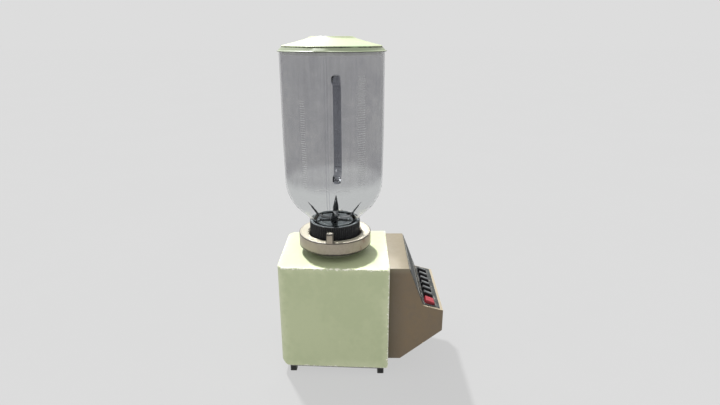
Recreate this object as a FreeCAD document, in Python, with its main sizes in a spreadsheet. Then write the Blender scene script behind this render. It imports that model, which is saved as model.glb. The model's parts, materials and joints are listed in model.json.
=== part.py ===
import FreeCAD, Part
import math
import operator
import os
from types import SimpleNamespace

import Sketcher

# Countertop blender: a square motor base with a seven-key console, a locking collar,
# a screwed-on jar with its blade unit, a lid and a filler cap.
# Millimetres, +Z up. The origin is on the motor's axis at the level of the feet's soles.
# The console faces -Y, so +X is the user's right; the jar's spout points to -X.

os.makedirs("parts", exist_ok=True)
doc = FreeCAD.newDocument("CountertopBlender")
sheet = doc.addObject("Spreadsheet::Sheet", "Sizes")


# ---------------------------------------------------------------- sizes and their formulas

class Size:
    """A number together with the spreadsheet formula that gives it."""

    def __init__(self, value, formula):
        self.value = value
        self.formula = formula

    def __add__(self, other):
        return combine(self, "+", other)

    def __radd__(self, other):
        return combine(other, "+", self)

    def __sub__(self, other):
        return combine(self, "-", other)

    def __rsub__(self, other):
        return combine(other, "-", self)

    def __mul__(self, other):
        return combine(self, "*", other)

    def __rmul__(self, other):
        return combine(other, "*", self)

    def __truediv__(self, other):
        return combine(self, "/", other)

    def __neg__(self):
        return combine(0, "-", self)


SIGNS = {"+": operator.add, "-": operator.sub, "*": operator.mul, "/": operator.truediv}


def value_of(item):
    return item.value if isinstance(item, Size) else float(item)


def formula_of(item):
    return item.formula if isinstance(item, Size) else repr(float(item))


def combine(left, sign, right):
    value = SIGNS[sign](value_of(left), value_of(right))
    return Size(value, f"({formula_of(left)} {sign} {formula_of(right)})")


def sine(angle):
    return Size(math.sin(math.radians(value_of(angle))), f"sin({formula_of(angle)})")


def cosine(angle):
    return Size(math.cos(math.radians(value_of(angle))), f"cos({formula_of(angle)})")


SIZES = [
    # casing
    ("case_front_half", 62, "casing from the centre line to its side, at the front"),
    ("case_rear_half", 56, "casing from the centre line to its side, at the rear"),
    ("case_depth", 132, "casing front to back"),
    ("case_floor", 11, "underside of the casing above the table"),
    ("case_top", 145, "top of the casing"),
    ("case_wall", 2.6, "casing wall"),
    ("rear_corner", 11, "round of the two rear upright edges"),
    ("rear_foot_round", 6, "round of the rear bottom edge"),
    ("crisp_edge", 1.6, "round of the front and top edges"),
    ("lip_width", 7, "inward lip under the casing"),
    ("plate_thick", 2.4, "bottom plate"),
    ("plate_inset", 3, "bottom plate inside the casing's sides"),
    ("plate_front", 2.5, "bottom plate inside the casing's front"),
    ("plate_rear", 7.5, "bottom plate inside the casing's rear"),
    ("vent_pitch", 9, "cooling slot spacing"),
    ("vent_half", 28, "cooling slot, half length"),
    ("vent_wide", 4, "cooling slot across"),
    ("foot_side", 8, "square foot across"),
    ("foot_front_x", 53, "front feet from the centre line"),
    ("foot_rear_x", 48, "rear feet from the centre line"),
    ("foot_rear_y", 52, "rear feet behind the axis"),
    ("foot_front_y", 57, "front feet before the axis"),
    ("post_radius", 5, "screw post in the casing"),
    ("post_high", 14, "screw post height"),
    ("gland_radius", 5, "cord gland in the wall"),
    ("gland_x", 25, "cord gland from the centre line"),
    ("gland_z", 28, "cord gland above the table"),
    ("front_gap_half", 47.4, "opening towards the console, half width"),
    ("front_gap_end", 14, "opening inside the console's top and underside"),
    ("screw_radius", 2, "screw shank"),
    ("screw_gap", 0.1, "clearance round a screw"),
    # console
    ("console_half", 55, "console from the centre line to its side"),
    ("console_top", 143.6, "console top"),
    ("console_wall", 2.5, "console wall"),
    ("console_shoulder", 22.8, "flat top, casing to label panel"),
    ("label_slope", 69.5, "label panel from the horizontal, degrees"),
    ("label_length", 51.5, "label panel down its slope"),
    ("shelf_slope", 14.8, "key shelf from the horizontal, degrees"),
    ("shelf_length", 25, "key shelf down its slope"),
    ("nose_bottom", 61.7, "lower end of the console's front wall"),
    ("console_floor", 21.4, "console underside"),
    ("console_floor_depth", 15, "flat underside, front to back"),
    ("boss_inset", 9, "console screws inside its top and underside"),
    ("boss_long", 10, "console screw boss"),
    ("plate_rim", 1.2, "rim left beside a panel plate"),
    ("panel_plate", 0.8, "panel plate thickness"),
    # keys
    ("key_count", 6, "speed keys"),
    ("key_pitch", 13.3, "speed key spacing"),
    ("first_key_x", -26.8, "first speed key"),
    ("off_key_x", -44.5, "off key"),
    ("key_width", 6.3, "speed key across"),
    ("off_key_width", 12.2, "off key across"),
    ("key_length", 11.4, "key down the slope"),
    ("key_centre", 8.4, "key centre down the slope"),
    ("key_rear_height", 6, "key above the shelf at its rear"),
    ("key_front_height", 4.4, "key above the shelf at its front"),
    ("key_depth", 7, "key below the shelf"),
    ("key_travel", 3, "key travel"),
    ("key_gap", 0.35, "clearance round a key"),
    ("stem_radius", 1.8, "key stem"),
    ("stem_rest", 2, "stem end above the tray floor when the key is down"),
    ("key_round", 0.7, "round of a key's top edges"),
    ("catch_out", 1.1, "key catch beyond the key"),
    ("catch_high", 1.6, "key catch height"),
    ("bezel_high", 1.2, "key surround above its plate"),
    ("bezel_wide", 1.6, "key surround beside the slot"),
    ("tray_top", 11, "switch tray rim below the shelf"),
    ("tray_floor", 24, "switch tray floor below the shelf"),
    # collar
    ("seat_radius", 30, "seat under the collar"),
    ("collar_base", 154, "collar underside"),
    ("collar_top", 170.5, "collar rim"),
    ("collar_radius", 44.5, "collar outside"),
    ("collar_bore", 32, "collar bore"),
    ("collar_floor", 4, "collar floor thickness"),
    ("collar_hole", 20, "hole through seat, collar and casing top"),
    ("lug_width", 8, "collar lug across"),
    ("lug_thick", 6.5, "collar lug in the radial direction"),
    ("lug_top", 182, "top of the collar lugs"),
    ("lug_angle", 5.3, "lugs turned from the X axis, degrees"),
    ("collar_screw_x", 18, "collar screws from both centre lines"),
    # motor
    ("shaft_radius", 5, "motor shaft"),
    ("running_gap", 0.04, "radial clearance in a plain bearing"),
    ("core_bottom", 50, "laminations, lower end"),
    ("core_top", 90, "laminations, upper end"),
    ("core_half_x", 44, "laminations, half width"),
    ("core_half_y", 38, "laminations, half depth"),
    ("core_bore", 24.3, "laminations bore"),
    ("coil_off", 1.7, "field coil outside the bore"),
    ("coil_thick", 7, "field coil winding"),
    ("coil_inner_y", 20, "field coil window, half width"),
    ("coil_outer_y", 30, "field coil, half width"),
    ("coil_end", 8, "field coil beyond the laminations"),
    ("coil_slack", 0.2, "insulation round a field coil"),
    ("leg_thick", 8, "bracket leg"),
    ("low_bar_half", 14, "lower bracket, half width"),
    ("high_bar_half", 24, "upper bracket, half width"),
    ("winding_end", 7, "armature winding beyond the laminations"),
    ("commutator_low", 9, "commutator above the laminations"),
    ("commutator_long", 15, "commutator length"),
    ("brush_lift", 16, "brushes above the laminations"),
    ("brush_half", 3, "carbon, half width"),
    ("brush_shell", 2, "brush box wall"),
    ("brush_start", 3, "brush box from the commutator"),
    ("brush_end", 22, "outer end of the brush box from the commutator"),
    ("carbon_end", 12, "outer end of the carbon from the commutator"),
    ("armature_radius", 23.6, "armature"),
    ("armature_slots", 12, "armature slots"),
    ("bearing_radius", 11, "bearing outside"),
    ("bearing_long", 8, "bearing length"),
    ("bracket_low", 24, "lower bracket underside"),
    ("bracket_high", 118, "upper bracket underside"),
    ("bracket_thick", 10, "upper bracket thickness"),
    ("commutator_radius", 12, "commutator"),
    ("fan_radius", 30, "cooling fan"),
    ("fan_bottom", 33.4, "cooling fan underside"),
    ("fan_high", 7, "cooling fan height"),
    ("fan_hub", 12, "cooling fan hub"),
    ("fan_web", 1.2, "cooling fan disc and vanes"),
    ("coupling_radius", 12.5, "drive coupling"),
    ("coupling_bottom", 147.5, "drive coupling underside"),
    ("coupling_top", 157.5, "drive coupling top"),
    ("drive_corner", 6, "corner radius of the six-sided drive"),
    ("drive_gap", 0.35, "clearance at the drive's corners"),
    # jar
    ("jar_radius", 59, "jar outside"),
    ("jar_low_radius", 58, "jar outside where its side starts to taper"),
    ("jar_taper_bottom", 242, "height of that taper's lower end"),
    ("jar_taper_top", 290, "height of that taper's upper end"),
    ("jar_top", 384, "jar rim"),
    ("jar_wall", 3.2, "jar wall"),
    ("jar_round", 47.5, "round between the jar's cone and side"),
    ("neck_radius", 26.8, "jar neck outside"),
    ("neck_bore", 23, "jar neck inside"),
    ("neck_bottom", 167.5, "lower end of the neck"),
    ("cone_height", 185.6, "height where the neck meets the cone"),
    ("spout_radius", 13.5, "spout, half width at the rim"),
    ("spout_centre", 50.5, "spout's own axis from the jar's"),
    ("spout_depth", 40, "spout height"),
    ("grip_out", 96, "outside of the handle from the axis"),
    ("grip_thick", 12, "handle in the radial direction"),
    ("grip_width", 11, "handle across"),
    ("grip_top", 354, "top of the handle"),
    ("grip_bottom", 214, "bottom of the handle"),
    ("nut_radius", 31, "jar nut outside"),
    ("nut_bottom", 158.3, "jar nut underside"),
    ("nut_top", 185.3, "jar nut top"),
    ("nut_floor", 163, "inner ledge of the jar nut"),
    ("nut_hole", 21, "hole in the jar nut's ledge"),
    ("holder_flange", 2.5, "blade holder flange"),
    ("holder_radius", 22.6, "blade holder boss"),
    ("holder_top", 184.6, "blade holder top"),
    ("grip_corner", 14, "slant between the handle's back and its lower arm"),
    ("spindle_radius", 4, "blade spindle"),
    ("stub_radius", 2.2, "spindle through the blades"),
    ("blade_nut_corner", 3.6, "corner radius of the blade nut"),
    ("blade_nut_high", 1.8, "blade nut height"),
    ("blade_nut_dome", 0.6, "dome on the blade nut"),
    ("bush_radius", 7.5, "spindle bush outside"),
    ("blade_plane", 185.3, "underside of the lower blade"),
    ("blade_thick", 1.2, "blade strip"),
    ("blade_width", 6.8, "blade at its middle"),
    ("blade_bend", 20, "blade bend from the axis"),
    ("blade_reach", 34, "blade tip from the axis"),
    ("blade_rise", 20.5, "blade tip above its bend"),
    # lid
    ("lid_bottom", 384.3, "underside of the lid's rim"),
    ("lid_radius", 61, "lid rim"),
    ("lid_shoulder_radius", 56.6, "top of the lid's rim"),
    ("lid_shoulder", 389.1, "height of the rim's top"),
    ("lid_plug", 3.5, "lid inside the jar"),
    ("lid_wall", 2.4, "lid wall"),
    ("lid_step", 1.4, "rise just inside the rim's top"),
    ("crown_in", 18, "start of the lid's crown inside the rim"),
    ("crown_rise", 5.6, "that start above the rim's top"),
    ("cap_lip", 0.8, "lid below the cap's top beside it"),
    ("cap_plug_deep", 9, "filler cap plug below its disc"),
    ("cap_radius", 24, "filler cap"),
    ("cap_top", 400, "filler cap top"),
    ("cap_rim", 3, "filler cap disc"),
    ("cap_plug", 20.5, "filler cap plug"),
    ("body_gap", 0.3, "space between pieces that move apart"),
]

s = SimpleNamespace()
for line, (alias, number, meaning) in enumerate(SIZES, start=1):
    sheet.set(f"A{line}", meaning)
    sheet.set(f"B{line}", str(number))
    sheet.setAlias(f"B{line}", alias)
    setattr(s, alias, Size(float(number), f"Sizes.{alias}"))
doc.recompute()


def bind(item, field, size):
    """Bind one property to the spreadsheet."""
    item.setExpression(field, formula_of(size))


def put(item, x=0, y=0, z=0, turn=0, axis=(0, 0, 1)):
    """Place an object: turned by an angle about an axis through its own origin, then moved."""
    rotation = FreeCAD.Rotation(FreeCAD.Vector(*axis), value_of(turn))
    item.Placement = FreeCAD.Placement(FreeCAD.Vector(), rotation)
    for letter, size in zip("xyz", (x, y, z)):
        bind(item, f"Placement.Base.{letter}", size)
    return item


# ---------------------------------------------------------------- PartDesign helpers

def new_body(name):
    body = doc.addObject("PartDesign::Body", name)
    body.Label = name
    return body


def new_sketch(body, plane, lift=0):
    """An empty sketch on one of the body's own origin planes, moved along its normal."""
    sketch = body.newObject("Sketcher::SketchObject", f"{body.Label}_sketch")
    origin = next(item for item in body.Origin.OriginFeatures if item.Role == plane)
    sketch.AttachmentSupport = [(origin, "")]
    sketch.MapMode = "FlatFace"
    bind(sketch, "AttachmentOffset.Base.z", lift)
    return sketch


def fix(sketch, constraint, size):
    index = sketch.addConstraint(constraint)
    sketch.setExpression(f"Constraints[{index}]", formula_of(size))


def fix_point(sketch, line, end, x, y):
    """Hold one end of a line at (x, y) of the sketch."""
    for kind, size, other_axis in (("DistanceX", x, -2), ("DistanceY", y, -1)):
        if abs(value_of(size)) < 1e-9:
            sketch.addConstraint(Sketcher.Constraint("PointOnObject", line, end, other_axis))
        else:
            fix(sketch, Sketcher.Constraint(kind, -1, 1, line, end, value_of(size)), size)


def outline(body, plane, points, lift=0):
    """A closed outline of straight runs through the points, each held by the spreadsheet."""
    sketch = new_sketch(body, plane, lift)
    places = [FreeCAD.Vector(value_of(x), value_of(y), 0) for x, y in points]
    for start, end in zip(places, places[1:] + places[:1]):
        sketch.addGeometry(Part.LineSegment(start, end))
    count = len(points)
    for line in range(count):
        sketch.addConstraint(Sketcher.Constraint("Coincident", line, 2, (line + 1) % count, 1))
    for line, (x, y) in enumerate(points):
        fix_point(sketch, line, 1, x, y)
    return sketch


def rectangle(body, plane, x0, x1, y0, y1, lift=0):
    return outline(body, plane, [(x0, y0), (x1, y0), (x1, y1), (x0, y1)], lift)


def pad(body, sketch, length, midplane=False):
    feature = body.newObject("PartDesign::Pad", f"{body.Label}_pad")
    feature.Profile = sketch
    if midplane:
        feature.Midplane = True
    bind(feature, "Length", length)
    return feature


def turned(name, profile):
    """A piece turned about the Z axis from its (radius, height) outline."""
    body = new_body(name)
    sketch = outline(body, "XZ_Plane", profile)
    feature = body.newObject("PartDesign::Revolution", f"{name}_turn")
    feature.Profile = sketch
    feature.ReferenceAxis = (sketch, ["V_Axis"])
    feature.Angle = 360
    return body


def ring(name, inner, outer, bottom, top):
    """A plain turned ring."""
    return turned(name, [(inner, bottom), (outer, bottom), (outer, top), (inner, top)])


def block(name, x0, x1, y0, y1, z0, z1):
    """A rectangular body between six planes."""
    body = new_body(name)
    pad(body, rectangle(body, "XY_Plane", x0, x1, y0, y1, z0), z1 - z0)
    return body


def tapered_block(name, front_half, rear_half, y0, y1, z0, z1):
    """A four-sided body about the YZ plane whose width changes from front to rear."""
    body = new_body(name)
    plan = [(-front_half, y0), (front_half, y0), (rear_half, y1), (-rear_half, y1)]
    pad(body, outline(body, "XY_Plane", plan, z0), z1 - z0)
    return body


def dress(body, kind, radius, wanted):
    """Fillet or chamfer the edges of the body's last feature that the test picks."""
    doc.recompute()
    base = body.Tip
    names = [f"Edge{i}" for i, edge in enumerate(base.Shape.Edges, start=1) if wanted(edge)]
    feature = body.newObject(f"PartDesign::{kind}", f"{body.Label}_{kind.lower()}")
    feature.Base = (base, names)
    bind(feature, "Size" if kind == "Chamfer" else "Radius", radius)
    return feature


def runs_along(edge, axis):
    """True for a straight edge parallel to the axis."""
    if not isinstance(edge.Curve, Part.Line):
        return False
    return abs(abs(edge.Curve.Direction.dot(FreeCAD.Vector(*axis))) - 1) < 1e-6


def circle_at(edge, radius, height):
    """True for a horizontal circle of this radius at this height."""
    curve = edge.Curve
    if not isinstance(curve, Part.Circle):
        return False
    return abs(curve.Radius - value_of(radius)) < 0.05 and abs(curve.Center.z - value_of(height)) < 0.05


# ---------------------------------------------------------------- Part helpers

def box(name, x0, x1, y0, y1, z0, z1):
    item = doc.addObject("Part::Box", name)
    for field, low, high in (("Length", x0, x1), ("Width", y0, y1), ("Height", z0, z1)):
        bind(item, field, high - low if isinstance(high, Size) or isinstance(low, Size)
             else value_of(high) - value_of(low))
    return put(item, x0, y0, z0)


AXIS_TURNS = {"x": (90, (0, 1, 0)), "y": (-90, (1, 0, 0)), "z": (0, (0, 0, 1))}


def rod(name, radius, start, end, x=0, y=0, z=0, axis="z"):
    """A cylinder along an axis from start to end; the other two coordinates are its centre."""
    item = doc.addObject("Part::Cylinder", name)
    bind(item, "Radius", radius)
    bind(item, "Height", combine(end, "-", start))
    turn, about = AXIS_TURNS[axis]
    centre = {"x": x, "y": y, "z": z, axis: start}
    return put(item, centre["x"], centre["y"], centre["z"], turn, about)


def cone(name, low_radius, high_radius, start, end, x=0, y=0):
    item = doc.addObject("Part::Cone", name)
    bind(item, "Radius1", low_radius)
    bind(item, "Radius2", high_radius)
    bind(item, "Height", combine(end, "-", start))
    return put(item, x, y, start)


def six_sided(name, corner, start, end):
    item = doc.addObject("Part::Prism", name)
    item.Polygon = 6
    bind(item, "Circumradius", corner)
    bind(item, "Height", combine(end, "-", start))
    return put(item, 0, 0, start)


def fuse(name, *pieces):
    item = doc.addObject("Part::MultiFuse", name)
    item.Label = name
    item.Shapes = list(pieces)
    return item


def cut(name, base, *tools):
    item = doc.addObject("Part::Cut", name)
    item.Label = name
    item.Base = base
    item.Tool = tools[0] if len(tools) == 1 else fuse(f"{name}_tools", *tools)
    return item


def common(name, first, second):
    item = doc.addObject("Part::Common", name)
    item.Label = name
    item.Base = first
    item.Tool = second
    return item


pieces = []


def keep(item):
    """Hand the object in as a sub-part under its own label."""
    pieces.append(item)
    return item


def corners(half_x, half_y):
    """The four corners of a rectangle about the axis."""
    return [(x, y) for x in (-half_x, half_x) for y in (-half_y, half_y)]


# ---------------------------------------------------------------- casing

half_depth = s.case_depth / 2
inner_y = half_depth - s.case_wall
lip_inset = s.case_wall + s.lip_width
ceiling = s.case_top - s.case_wall
foot_places = {
    "foot_front_left": (-s.foot_front_x, -s.foot_front_y),
    "foot_front_right": (s.foot_front_x, -s.foot_front_y),
    "foot_rear_left": (-s.foot_rear_x, s.foot_rear_y),
    "foot_rear_right": (s.foot_rear_x, s.foot_rear_y),
}
collar_screw_places = corners(s.collar_screw_x, s.collar_screw_x)
screw_hole = s.screw_radius + s.screw_gap


def make_casing():
    """Five-walled casing, narrower at the rear, with an inward lip below and four screw posts."""
    shell = tapered_block("housing_outside", s.case_front_half, s.case_rear_half,
                          -half_depth, half_depth, s.case_floor, s.case_top)
    rear = value_of(half_depth) - 1e-3
    dress(shell, "Fillet", s.rear_corner,
          lambda edge: runs_along(edge, (0, 0, 1)) and edge.CenterOfMass.y > rear)
    dress(shell, "Fillet", s.rear_foot_round,
          lambda edge: edge.CenterOfMass.y > value_of(half_depth - s.rear_corner)
          and edge.BoundBox.ZMax < value_of(s.case_floor) + 1e-3)
    dress(shell, "Fillet", s.crisp_edge,
          lambda edge: edge.BoundBox.ZMin > value_of(s.case_top) - 1e-3
          or (runs_along(edge, (0, 0, 1)) and edge.CenterOfMass.y < -rear))
    cavity = tapered_block("housing_inside", s.case_front_half - s.case_wall,
                           s.case_rear_half - s.case_wall, -inner_y, inner_y,
                           s.case_floor + s.case_wall, ceiling)
    inner_rear = value_of(inner_y) - 1e-3
    dress(cavity, "Fillet", s.rear_corner - s.case_wall,
          lambda edge: runs_along(edge, (0, 0, 1)) and edge.CenterOfMass.y > inner_rear)
    dress(cavity, "Fillet", s.rear_foot_round - s.case_wall,
          lambda edge: edge.CenterOfMass.y > value_of(inner_y - s.rear_corner)
          and edge.BoundBox.ZMax < value_of(s.case_floor + s.case_wall) + 1e-3)
    under = tapered_block("housing_under", s.case_front_half - lip_inset,
                          s.case_rear_half - lip_inset, -half_depth + lip_inset,
                          half_depth - lip_inset, s.case_floor - 1, s.case_floor + 5)
    front = box("housing_front_gap", -s.front_gap_half, s.front_gap_half, -half_depth - 1,
                -inner_y + 1, s.console_floor + s.front_gap_end, s.console_top - s.front_gap_end)
    shaft_hole = rod("housing_shaft_hole", s.collar_hole, ceiling - 1, s.case_top + 1)
    holes = [rod(f"housing_collar_hole_{i}", screw_hole, ceiling - 1, s.case_top + 1, x, y)
             for i, (x, y) in enumerate(collar_screw_places)]
    holes += [rod(f"housing_console_hole_{i}", screw_hole, -half_depth - 1, -inner_y + 1,
                  x=x, z=z, axis="y") for i, (x, z) in enumerate(console_screw_places)]
    gland_hole = rod("housing_gland_hole", s.gland_radius, inner_y - 1, half_depth + 1,
                     x=s.gland_x, z=s.gland_z, axis="y")
    hollow = cut("housing_hollow", shell, cavity, under, front, shaft_hole, gland_hole, *holes)
    post_top = s.case_floor + s.post_high
    posts = [rod(f"housing_post_{i}", s.post_radius, s.case_floor, post_top, x, y)
             for i, (x, y) in enumerate(foot_places.values())]
    bores = [rod(f"housing_post_bore_{i}", screw_hole, s.case_floor - 1, post_top - 2, x, y)
             for i, (x, y) in enumerate(foot_places.values())]
    keep(cut("housing", fuse("housing_with_posts", hollow, *posts), *bores))


def make_bottom_plate():
    """Bottom plate under the lip, with cooling slots and four screw holes."""
    underside = s.case_floor - s.plate_thick
    plate = tapered_block("bottom_plate_blank", s.case_front_half - s.plate_inset,
                          s.case_rear_half - s.plate_inset, -half_depth + s.plate_front,
                          half_depth - s.plate_rear, underside, s.case_floor)
    dress(plate, "Fillet", s.rear_foot_round, lambda edge: runs_along(edge, (0, 0, 1)))
    slots = []
    for i in range(-3, 4):
        middle = s.vent_pitch * i
        slots.append(box(f"bottom_plate_slot_{i + 3}", -s.vent_half, s.vent_half,
                         middle - s.vent_wide / 2, middle + s.vent_wide / 2,
                         underside - 1, s.case_floor + 1))
    holes = [rod(f"bottom_plate_hole_{i}", screw_hole, underside - 1, s.case_floor + 1, x, y)
             for i, (x, y) in enumerate(foot_places.values())]
    keep(cut("bottom_plate", plate, *slots, *holes))


def make_feet():
    """Four square rubber feet, each held by the screw that also holds the plate."""
    top = s.case_floor - s.plate_thick
    half = s.foot_side / 2
    head_radius = s.screw_radius * 1.4
    head_bottom = 1
    head_top = 3
    screws = []
    for name, (x, y) in foot_places.items():
        blank = block(f"{name}_blank", -half, half, -half, half, 0, top)
        dress(blank, "Fillet", s.crisp_edge / 2, lambda edge: runs_along(edge, (0, 0, 1)))
        sink = rod(f"{name}_sink", head_radius + s.screw_gap, -1, head_top)
        bore = rod(f"{name}_bore", screw_hole, 0, top + 1)
        keep(put(cut(name, blank, sink, bore), x, y, 0))
        screws.append(rod(f"{name}_screw_head", head_radius, head_bottom, head_top, x, y))
        screws.append(rod(f"{name}_screw_shank", s.screw_radius, head_top,
                          s.case_floor + s.post_high - 3, x, y))
    keep(fuse("foot_screws", *screws))


# ---------------------------------------------------------------- console

shoulder_y = -half_depth - s.console_shoulder
shelf_y = shoulder_y - s.label_length * cosine(s.label_slope)
shelf_z = s.console_top - s.label_length * sine(s.label_slope)
nose_y = shelf_y - s.shelf_length * cosine(s.shelf_slope)
nose_z = shelf_z - s.shelf_length * sine(s.shelf_slope)
boss_x = s.console_half - s.console_wall - s.screw_radius * 2.2
console_screw_places = [(side, height) for side in (-boss_x, boss_x)
                        for height in (s.console_floor + s.boss_inset,
                                       s.console_top - s.boss_inset)]


def on_shelf(item):
    """Place a piece drawn with the shelf's rear edge as its X axis and the shelf's face as Z = 0."""
    return put(item, 0, shelf_y, shelf_z, s.shelf_slope, (1, 0, 0))


def on_label_panel(item):
    """Place a piece drawn with the label panel's top edge as its X axis and its face as Z = 0."""
    return put(item, 0, shoulder_y, s.console_top, s.label_slope, (1, 0, 0))


key_row = [(f"key_{i + 1}", s.first_key_x + s.key_pitch * i, s.key_width)
           for i in range(int(s.key_count.value))]
key_row.append(("key_off", s.off_key_x, s.off_key_width))
key_slot_x0 = s.off_key_x - s.off_key_width / 2 - s.key_gap
key_slot_x1 = s.first_key_x + s.key_pitch * (s.key_count - 1) + s.key_width / 2 + s.key_gap
key_rear_y = s.key_length / 2 - s.key_centre
key_front_y = -s.key_length / 2 - s.key_centre


def make_console():
    """Console shell: one outline carried across, hollowed, open towards the casing."""
    shell = new_body("console_shell")
    profile = [(-half_depth, s.console_top), (shoulder_y, s.console_top), (shelf_y, shelf_z),
               (nose_y, nose_z), (nose_y, s.nose_bottom),
               (-half_depth - s.console_floor_depth, s.console_floor),
               (-half_depth, s.console_floor)]
    pad(shell, outline(shell, "YZ_Plane", profile), s.console_half * 2, midplane=True)
    doc.recompute()
    prism = shell.Tip
    back = [f"Face{i}" for i, face in enumerate(prism.Shape.Faces, start=1)
            if face.BoundBox.YMin > -value_of(half_depth) - 1e-3]
    hollow = shell.newObject("PartDesign::Thickness", "console_hollow")
    hollow.Base = (prism, back)
    hollow.Reversed = True
    hollow.Join = 1
    bind(hollow, "Value", s.console_wall)
    slot = on_shelf(block("console_key_slot", key_slot_x0, key_slot_x1, key_front_y - s.key_gap,
                          key_rear_y + s.key_gap, -s.console_wall * 2, s.console_wall))
    bosses = [rod(f"console_boss_{i}", s.screw_radius * 2.2, -half_depth - s.boss_long, -half_depth,
                  x=x, z=z, axis="y") for i, (x, z) in enumerate(console_screw_places)]
    bores = [rod(f"console_boss_bore_{i}", screw_hole, -half_depth - s.boss_long + 2, -half_depth + 1,
                 x=x, z=z, axis="y") for i, (x, z) in enumerate(console_screw_places)]
    keep(cut("console", fuse("console_with_bosses", shell, *bosses), slot, *bores))
    parts = []
    for i, (x, z) in enumerate(console_screw_places):
        parts.append(rod(f"console_screw_head_{i}", s.screw_radius * 1.8, -inner_y,
                         -inner_y + 2, x=x, z=z, axis="y"))
        parts.append(rod(f"console_screw_shank_{i}", s.screw_radius, -half_depth - s.boss_long + 3,
                         -inner_y, x=x, z=z, axis="y"))
    keep(fuse("console_screws", *parts))


def make_panel_plates():
    """Thin plates on the label panel and the key shelf, and the raised surround of the keys."""
    side = s.console_half - s.plate_rim
    label = block("label_plate", -side, side, -s.label_length + 0.6, -s.plate_rim, 0, s.panel_plate)
    dress(label, "Fillet", 1, lambda edge: runs_along(edge, (0, 0, 1)))
    keep(on_label_panel(label))
    shelf = block("key_plate_blank", -side + 1, side - 1, -s.shelf_length + 3.6, -0.9,
                  0, s.panel_plate)
    slot = box("key_plate_slot", key_slot_x0, key_slot_x1, key_front_y - s.key_gap,
               key_rear_y + s.key_gap, -1, 2)
    keep(on_shelf(cut("key_plate", shelf, slot)))
    rim = s.bezel_wide
    surround = block("key_bezel_blank", key_slot_x0 - rim, key_slot_x1 + rim,
                     key_front_y - s.key_gap - rim, key_rear_y + s.key_gap + rim * 0.6,
                     s.panel_plate, s.panel_plate + s.bezel_high)
    dress(surround, "Fillet", rim, lambda edge: runs_along(edge, (0, 0, 1)))
    hole = box("key_bezel_slot", key_slot_x0, key_slot_x1, key_front_y - s.key_gap,
               key_rear_y + s.key_gap, 0, 5)
    keep(on_shelf(cut("key_bezel", surround, hole)))


def make_keys():
    """Wedge-topped push keys, each with a catch at front and rear and a round stem."""
    for name, x, width in key_row:
        cap = new_body(f"{name}_cap")
        side_view = [(key_rear_y, -s.key_depth), (key_rear_y, s.key_rear_height),
                     (key_front_y, s.key_front_height), (key_front_y, -s.key_depth)]
        pad(cap, outline(cap, "YZ_Plane", side_view), width, midplane=True)
        dress(cap, "Fillet", s.key_round, lambda edge: edge.CenterOfMass.z > 0
              and edge.BoundBox.ZMin > value_of(s.key_front_height) - 0.1)
        catch = box(f"{name}_catch", -width / 2, width / 2, key_front_y - s.catch_out,
                    key_rear_y + s.catch_out, -s.key_depth, -s.key_depth + s.catch_high)
        stem_end = s.tray_floor - s.stem_rest - s.key_travel
        stem = rod(f"{name}_stem", s.stem_radius, -stem_end, -s.key_depth + 1, y=-s.key_centre)
        key = fuse(name, cap, catch, stem)
        keep(put(key, x, shelf_y, shelf_z, s.shelf_slope, (1, 0, 0)))


def make_switch():
    """Switch tray under the keys with springs, contacts and the sliding latch bar."""
    tray_x = s.console_half - s.console_wall
    wall = 1.5
    front_y = key_front_y - 5
    rear_y = key_rear_y + 3
    outside = box("tray_outside", -tray_x, tray_x, front_y, rear_y, -s.tray_floor - wall, -s.tray_top)
    inside = box("tray_inside", -tray_x + wall, tray_x - wall, front_y + wall, rear_y - wall,
                 -s.tray_floor, -s.tray_top + 1)
    posts = [box(f"tray_post_{i}", x, x + 4, front_y, front_y + 2.6, -s.tray_top - 1,
                 -s.console_wall) for i, x in enumerate((-tray_x, tray_x - 4))]
    keep(on_shelf(fuse("switch_housing", cut("tray_shell", outside, inside), *posts)))
    springs = []
    contacts = []
    for name, x, width in key_row:
        outer = rod(f"{name}_spring_outside", s.stem_radius + 1.3, -s.tray_floor,
                    -s.tray_top + 0.6, x, -s.key_centre)
        inner = rod(f"{name}_spring_inside", s.stem_radius + 0.5, -s.tray_floor - 1, 0,
                    x, -s.key_centre)
        springs.append(cut(f"{name}_spring", outer, inner))
        contacts.append(box(f"{name}_contact", x - 2.5, x + 2.5, key_rear_y - 1.5, key_rear_y + 1,
                            -s.tray_floor, -s.tray_floor + 3))
    keep(on_shelf(fuse("key_springs", *springs)))
    keep(on_shelf(fuse("switch_contacts", *contacts)))
    keep(on_shelf(block("latch_bar", -tray_x + 6, tray_x - 6, key_front_y - 2.6, key_front_y - 0.8,
                        -s.tray_floor + 6, -s.tray_floor + 10)))


# ---------------------------------------------------------------- collar

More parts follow.
